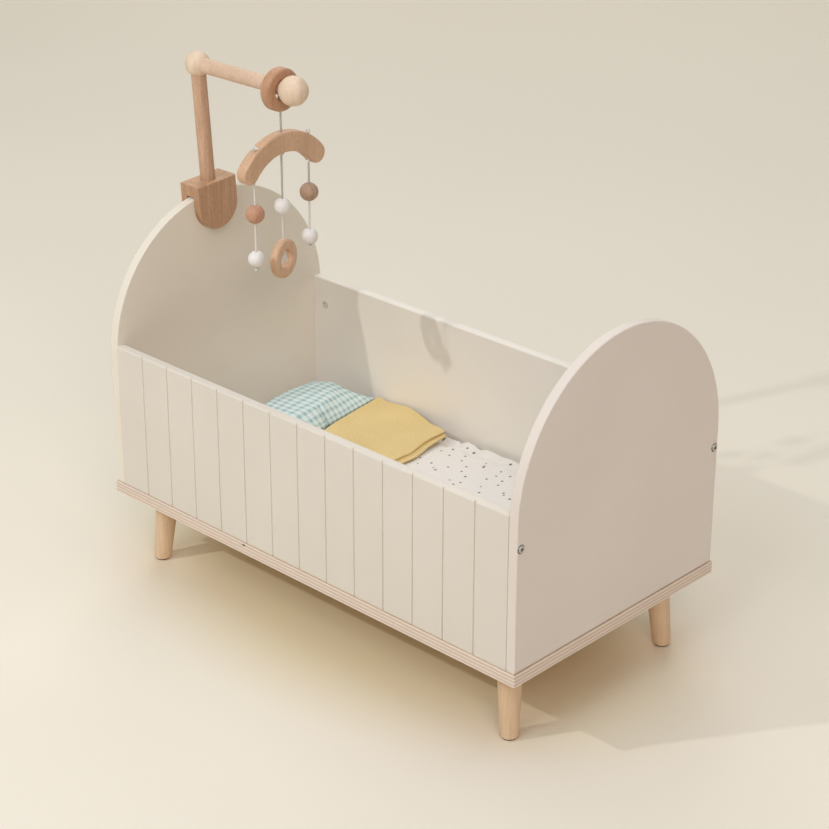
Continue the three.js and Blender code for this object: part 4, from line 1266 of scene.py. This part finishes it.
def simulated(obj, frames, cap, pressure, bending, extra=0.0, pinned=()):
    """Fills a bag of cloth by simulation, at a larger size, and keeps each point within a cap."""
    enlarged = 10
    start = [vert.co.copy() for vert in obj.data.vertices]
    obj.data.transform(Matrix.Scale(enlarged, 4))
    cloth = obj.modifiers.new("cloth", "CLOTH")
    rules = cloth.settings
    rules.quality = 7
    rules.mass = 0.25
    rules.air_damping = 2.0
    rules.tension_stiffness = rules.compression_stiffness = 18
    rules.shear_stiffness = 6
    rules.bending_stiffness = bending
    rules.use_pressure = True
    rules.uniform_pressure_force = pressure
    rules.shrink_min = -extra
    rules.effector_weights.gravity = 0
    cloth.collision_settings.use_collision = False
    if pinned:
        obj.vertex_groups.new(name="pinned").add(list(pinned), 1, "REPLACE")
        rules.vertex_group_mass = "pinned"
    cloth.point_cache.frame_start = 1
    cloth.point_cache.frame_end = frames
    for number in range(1, frames + 1):
        scene.frame_set(number)
    plain(obj)
    obj.vertex_groups.clear()
    obj.data.transform(Matrix.Scale(1 / enlarged, 4))
    for vert, before in zip(obj.data.vertices, start):
        shift = vert.co - before
        if shift.length > cap:
            vert.co = before + shift * (cap / shift.length)
    scene.frame_set(1)
    return obj


mattress_low, mattress_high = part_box("mattress")
pillow_low, pillow_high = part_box("pillow")
blanket_low, blanket_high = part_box("blanket")
wall_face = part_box("back_panel")[0].y
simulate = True


def mattress_piece():
    """A foam mattress in a fitted sheet, which creases and stands up a little along the back panel."""
    centre = (mattress_low + mattress_high) / 2
    half_x, half_y = (mattress_high.x - mattress_low.x) / 2, (mattress_high.y - mattress_low.y) / 2
    height = mattress_high.z - mattress_low.z
    rim = height * 0.5
    crown, crown_room, waist = 1.5 * mm, 3.5 * mm, 1.5 * mm
    square, power = 34, 0.5
    seam_reach = 0.1 * mm
    under_blanket, bare_blend = 16 * mm, 10 * mm
    ceiling_gap, bare_lift = 0.4 * mm, 0.6 * mm
    pillow_end, beside_pillow = -66 * mm, -50 * mm
    # The lip along the back panel begins and is full at these distances from the sheet's edge
    lip_beside_pillow, lip_where_bare = (13 * mm, 5 * mm), (27 * mm, 9 * mm)
    lip_step, lip_gap = 5 * mm, 1 * mm
    # Its rise, ripple and folds, and how deep it is tucked in at one place and further on, in mm
    lip_rise, lip_ripple, lip_folds, tuck_depth = 1.5, 0.45, 0.8, 3.0
    ripple_length = 5.5 * mm
    tuck_place, tuck_width = -5 * mm, 6 * mm
    far_tuck, far_tuck_from, far_tuck_until = 0.6, 36 * mm, 52 * mm

    def plan(u, v):
        return centre.x + u * (half_x - waist * (1 - v * v)), centre.y + v * (half_y - waist * (1 - u * u))

    def top(u, v):
        x, y = plan(u, v)
        body = (height - rim - crown_room) * fullness(u, v, square, power)
        return Vector((x, y, rim + body + crown * (1 - u ** 4) * (1 - v ** 4)))

    def bottom(u, v):
        x, y = plan(u, v)
        return Vector((x, y, rim * (1 - fullness(u, v, square, power))))

    columns, rows = 170, 88
    made = shown("mattress_sheet", skins(columns, rows, top, bottom), sheet_cotton)
    if simulate:
        held = [vert.index for vert in made.data.vertices if vert.co.z < rim + seam_reach]
        simulated(made, frames=16, cap=4 * mm, pressure=1.2, bending=0.1, extra=0.03, pinned=held)
    bare_from = blanket_high.x - under_blanket
    for vert in made.data.vertices:
        x, y = vert.co.x, vert.co.y
        row, column = divmod(vert.index, columns + 1)
        on_top = vert.index < (rows + 1) * (columns + 1) and 0 < row < rows and 0 < column < columns
        folds = crumple(x, y, 22 * mm, 3.1)
        bare = soften(bare_from, bare_from + bare_blend, x)
        ceiling = height - ceiling_gap + bare * bare_lift
        if on_top:
            vert.co.z += (0.5 + 0.5 * bare) * folds * mm
            if vert.co.z > ceiling:
                vert.co.z = ceiling - (vert.co.z - ceiling) * 0.35
            beside, behind = (soften(half_y - start, half_y - full, y)
                              for start, full in (lip_beside_pillow, lip_where_bare))
            lip = max(bare * behind, soften(pillow_end, beside_pillow, x) * beside)
            tuck = math.exp(-((x - tuck_place) / tuck_width) ** 2)
            tuck += far_tuck * soften(far_tuck_from, far_tuck_until, x)
            ripple = lip_ripple * math.sin(x / ripple_length) + lip_folds * folds
            raised = height + (lip_rise + ripple - tuck_depth * tuck) * mm
            vert.co.z += (raised - vert.co.z) * lip
            vert.co.y = min(y + lip * lip_step, wall_face - lip_gap)
        vert.co.y = min(max(vert.co.y, -half_y), half_y if not on_top or x < pillow_end else wall_face)
        vert.co.x = min(max(x, mattress_low.x), mattress_high.x)
        vert.co.z = max(vert.co.z, 0) + mattress_low.z
    fit(smooth(made, cloth_crease), "mattress", "sheet_cotton", "mattress")
    return made


def pillow_piece():
    """A slack pillow in a checked slip, flat underneath."""
    height = pillow_high.z - pillow_low.z
    half_x, half_y = pillow_width / 2, pillow_length / 2
    seam = height * 0.34
    full = height - seam
    square, power = 2.6, 0.45
    head_straightened, side_bulge, fold_height = 0.45, 0.3 * mm, 0.6 * mm
    share_at_start = 0.35 if simulate else 1

    def skin(way):
        deep = way * full * share_at_start
        return lambda u, v: Vector((u * half_x, v * half_y, deep * fullness(u, v, square, power)))

    columns, rows = 46, 88
    made = shown("pillow_gingham", skins(columns, rows, skin(1), skin(-1)), pillow_cotton)
    if simulate:
        simulated(made, frames=26, cap=16 * mm, pressure=5.0, bending=0.25)
    vertices = made.data.vertices
    lows = [min(vert.co[axis] for vert in vertices) for axis in range(3)]
    highs = [max(vert.co[axis] for vert in vertices) for axis in range(3)]
    # The side seams, which the filling pulls in, are drawn out again, the one at the head only in part
    sides = [[abs(vertices[row * (columns + 1) + side * columns].co.x) for row in range(rows + 1)]
             for side in (0, 1)]
    first = (rows + 1) * (columns + 1)
    for vert in vertices:
        upper = vert.index < first
        row = vert.index // (columns + 1) if upper else 1 + (vert.index - first) // (columns - 1)
        straightened = 1.0 if vert.co.x > 0 else head_straightened
        even, drawn = 2 / (highs[0] - lows[0]), 1 / sides[vert.co.x > 0][row]
        vert.co.x *= half_x * ((1 - straightened) * even + straightened * drawn)
        vert.co.y *= half_y * 2 / (highs[1] - lows[1])
        vert.co.x += side_bulge * (1 - (vert.co.y / half_y) ** 2) * soften(0.2, 1, vert.co.x / half_x)
        share = vert.co.z / (highs[2] if vert.co.z > 0 else -lows[2])
        if share > 0:
            folds = crumple(vert.co.x, vert.co.y, 34 * mm, 5.3) * fold_height
            vert.co.z = seam + full * (0.25 * share + 0.75 * share ** 2.1) + folds * share
        else:
            vert.co.z = seam * (1 + 1.25 * math.tanh(share * 1.9))
        vert.co.z = min(max(vert.co.z, 0), height)
    centre = (pillow_low + pillow_high) / 2
    place = Matrix.Translation((centre.x + pillow_shift, centre.y, pillow_low.z))
    made.data.transform(place @ Matrix.Rotation(pillow_turn, 4, "Z"))
    rounded = made.modifiers.new("rounded", "SUBSURF")
    rounded.levels = rounded.render_levels = 1
    fit(smooth(plain(made), cloth_crease), "pillow", "pillow_cotton", "pillow")
    return made


# How the blanket lies: its left and right edges by y, and its back edge by x
blanket_left = [(-0.117, -0.1170), (0.036, -0.1385), (0.090, -0.1463), (0.124, -0.1517)]
blanket_right = [(-0.117, -0.0265), (0.000, -0.0350), (0.034, -0.0393), (0.047, -0.0392), (0.058, -0.0388),
                 (0.070, -0.0415), (0.086, -0.0446), (0.104, -0.0438), (0.120, -0.0430)]
blanket_back = [(-0.156, 0.1218), (-0.146, 0.1262), (-0.132, 0.1270), (-0.105, 0.1262), (-0.074, 0.1192),
                (-0.054, 0.1133), (-0.036, 0.1090)]


def blanket_section(width, hem):
    """The folded cloth from one end to the other, and the number of the point where its hem is sewn.

    Each point has its share of the way from left to right, what it adds to that, its height and its layer.
    """
    section = []
    hem_at = 0
    lift = 0.2 * mm
    lower_out, upper_out = 1.2 * mm, -4.0 * mm
    dense_from, seam_in_hem = 0.88, 1 * mm
    for layer in range(blanket_layers):
        height = blanket_cloth / 2 + lift + layer * blanket_layer_gap
        rightwards = layer % 2 == 0
        right = lower_out if layer < 2 else upper_out
        shares = [at / 44 for at in range(45)]
        if layer == 1:
            shares = [at / 40 * dense_from for at in range(40)]
            shares += [dense_from + (1 - dense_from) * at / 30 for at in range(31)]
            hem_at = len(section) + sum((1 - share) * width < hem - seam_in_hem for share in shares)
        for share in shares if rightwards else reversed(shares):
            section.append((share, right * soften(0.5, 1, share), height, layer))
        if layer < blanket_layers - 1:
            end = 1 if rightwards else 0
            bulge = (1 if rightwards else -1) * blanket_layer_gap * 0.7
            for at in range(1, 6):
                angle = math.pi * at / 6
                section.append((end, (right if end else 0) + bulge * math.sin(angle),
                                height + blanket_layer_gap * (1 - math.cos(angle)) / 2, layer + at / 6))
    return section, hem_at


def blanket_piece():
    """One cloth folded into layers that lie on each other, with uneven hems at the right."""
    hem, hem_blend, hem_thickness = 2.8 * mm, 0.6 * mm, 0.8 * mm
    front, back = blanket_low.y, 120 * mm
    slant = 24 * mm
    width = blanket_high.x - blanket_low.x - slant
    # How far the cloth lifts at its back right corner, against the back panel and along its left edge
    corner_rise, wall_rise, left_rise, crease_height = 4.5 * mm, 3.4 * mm, 2.9 * mm, 0.5 * mm
    upper_shift = 1.6 * mm
    section, hem_at = blanket_section(width, hem)
    rows = 120
    bm = bmesh.new()
    flat = bm.loops.layers.uv.new("flat")
    run = [0.0]
    for (s0, x0, z0, _), (s1, x1, z1, _) in zip(section, section[1:]):
        run.append(run[-1] + math.hypot((s1 - s0) * width + x1 - x0, z1 - z0))

    def across(y, share):
        return through(blanket_left, y) * (1 - share) + through(blanket_right, y) * share

    grid = []
    for row in range(rows + 1):
        v = row / rows
        line = []
        for share, extra, up, layer in section:
            x = across(front + (back - front) * v, share)
            y = front + (through(blanket_back, x) - front) * v
            x = across(y, share) + extra
            height = layer / (blanket_layers - 1)
            to_right = soften(0.7, 1, share)
            uneven = to_right * (0.8 - 1.6 * height) * mm * math.sin(y / (11 * mm) + 2 * height)
            corner = corner_rise * (soften(0.72, 1, share) * soften(0.80, 1, v))
            by_wall = wall_rise * soften(0.84, 1, v) * math.exp(-((share - 0.42) / 0.24) ** 2)
            left_lip = left_rise * soften(0.90, 1, 1 - share) * soften(0.55, 0.7, v)
            wave = 1 + math.sin(5.2 * v + 2.6 * share - 0.6)
            body = math.sin(math.pi * min(max(share, 0), 1)) ** 0.6
            swell = (0.5 + 0.8 * height) * mm * wave * body
            crease = crease_height * (1 + crumple(x, y, 36 * mm, 1.7)) * height
            from_hem = (1 - share) * width
            doubled = hem_thickness * soften(hem, hem + hem_blend, from_hem) if layer == 1 else 0
            if height > 0.5:
                x += upper_shift * soften(0.5, 1, share) * soften(0.045, 0.105, y)
            z = blanket_low.z + up + corner + by_wall + left_lip + swell + crease + doubled
            line.append(bm.verts.new((x + uneven, y, z)))
        grid.append(line)
    for row in range(rows):
        for at in range(len(section) - 1):
            keys = [(row, at), (row, at + 1), (row + 1, at + 1), (row + 1, at)]
            face = bm.faces.new([grid[r][c] for r, c in keys])
            for loop, (r, c) in zip(face.loops, keys):
                loop[flat].uv = (run[c], r / rows * (blanket_high.y - front))
    bmesh.ops.recalc_face_normals(bm, faces=bm.faces)
    above = Vector((0, 0, blanket_cloth * 0.5))
    hem_line = [grid[row][hem_at].co + above for row in range(2, rows - 1)]
    made = shown("blanket_folded", bm, blanket_cotton)
    wall = made.modifiers.new("wall", "SOLIDIFY")
    wall.thickness = blanket_cloth
    wall.offset = 0
    fit(smooth(plain(made), cloth_crease), "blanket", "blanket_cotton", "blanket")
    stitches = points_of("blanket_stitches", hem_line, [(at, at + 1) for at in range(len(hem_line) - 1)])
    grow(stitches, stitch_growth, {
        "Pitch": stitch_pitch, "Length": stitch_length, "Thickness": stitch_radius, "Thread": hem_thread,
    })
    fit(smooth(stitches, cord_crease), "blanket", "blanket_cotton")
    return made


mattress_piece()
pillow_piece()
blanket_piece()


# ---------------------------------------------------------------- floor and light
def by_distance(tree, distance, start, end, near=0.0, far=1.0):
    """A smooth passage from one value to another between two distances."""
    return add(tree, "MapRange", {
        "Value": distance, "From Min": start, "From Max": end, "To Min": near, "To Max": far,
    }, interpolation_type="SMOOTHSTEP").outputs[0]


def seen(tree):
    """One for the camera's rays and for those that metal mirrors, and zero for all others."""
    path = add(tree, "LightPath").outputs
    mirrored = figure(tree, "MAXIMUM", path["Is Glossy Ray"], path["Is Transmission Ray"])
    return figure(tree, "MAXIMUM", path["Is Camera Ray"], mirrored)


def turned_into(tree, output, share, start, end):
    """Lets one shader turn into another, by a share, on the way to an output node."""
    mix = add(tree, "MixShader", {0: share, 1: start.outputs[0], 2: end.outputs[0]})
    tree.links.new(mix.outputs[0], tree.nodes[output].inputs["Surface"])


# Beyond the floor that the photograph shows, floor and world turn into one pale background
background = (0.672, 0.624, 0.515, 1)
floor_middle = (-0.636, 0.636, 0)
floor_until, background_from = 1.8, 3.6
# Under the cot the floor's colour is painted darker and warmer: painted shade, for the shadow there and the
# warm light that comes by way of the wood
shaded_floor_colour = (0.87, 0.765, 0.51)
shade_oval = (3.0, 5.0, 1)
shade_full_until, shade_gone_from = 0.55, 1.2

floor_mesh = bmesh.new()
bmesh.ops.create_grid(floor_mesh, x_segments=1, y_segments=1, size=14)
floor_finish, floor_tree, floor_shader, floor_place = finish_of("floor_finish", 0.8, specular=0.15)
mottle = speckle(floor_tree, floor_place, 1.2, 2.0)
pale = ramp(floor_tree, mottle, (0.3, (0.90, 0.836, 0.71)), (0.7, (0.92, 0.856, 0.73)))
# Painted shade: inside an oval round the cot the floor turns to the darker, warmer colour
from_cot = add(floor_tree, "VectorMath", {0: straight_place(floor_tree, floor_place, shade_oval)},
               operation="LENGTH").outputs["Value"]
under_cot_shade = by_distance(floor_tree, from_cot, shade_full_until, shade_gone_from, near=1.0, far=0.0)
coloured(floor_tree, floor_shader, between(floor_tree, under_cot_shade, pale, shaded_floor_colour))
from_middle = add(floor_tree, "VectorMath", {0: floor_place, 1: floor_middle},
                  operation="DISTANCE").outputs["Value"]
far = by_distance(floor_tree, from_middle, floor_until, background_from)
far_seen = figure(floor_tree, "MULTIPLY", far, seen(floor_tree))
turned_into(floor_tree, "Material Output", far_seen, floor_shader,
            add(floor_tree, "Emission", {"Color": background}))
floor = shown("floor", floor_mesh, floor_finish)

# Round soft lamps: place, size, power, where they shine, tint
on_cot, on_floor_behind = (0, 0, 0.15), (-2.6, 3.0, 0)
for name, place, size, power, aim, tint in (
    ("key", (-0.93, -1.95, 1.77), 0.06, 14, on_cot, (1, 1, 1)),
    ("above", (0.0, 0.3, 4.0), 5.0, 70, on_cot, (0.945, 0.989, 1.0)),
    ("right", (3.2, -2.4, 3.0), 2.4, 63, on_cot, (1.0, 0.857, 0.886)),
    ("front", (0.6, -3.2, 3.2), 2.4, 43, on_cot, (0.812, 0.907, 1.0)),
    ("behind", (-3.2, 3.6, 3.4), 3.0, 65, on_floor_behind, (1.0, 0.946, 0.908)),
):
    lamp = bpy.data.objects.new(name, bpy.data.lights.new(name, "AREA"))
    lamp.location = place
    lamp.rotation_euler = (Vector(aim) - lamp.location).to_track_quat("-Z", "Y").to_euler()
    lamp.data.shape = "DISK"
    lamp.data.size = size
    lamp.data.energy = power
    lamp.data.color = tint
    scene.collection.objects.link(lamp)

world = bpy.data.worlds.new("room")
world.use_nodes = True
room = world.node_tree.nodes["Background"]
room.inputs["Color"].default_value = (1.0, 0.94, 0.81, 1)
room.inputs["Strength"].default_value = 0.135
turned_into(world.node_tree, "World Output", seen(world.node_tree), room,
            add(world.node_tree, "Background", {"Color": background}))
scene.world = world
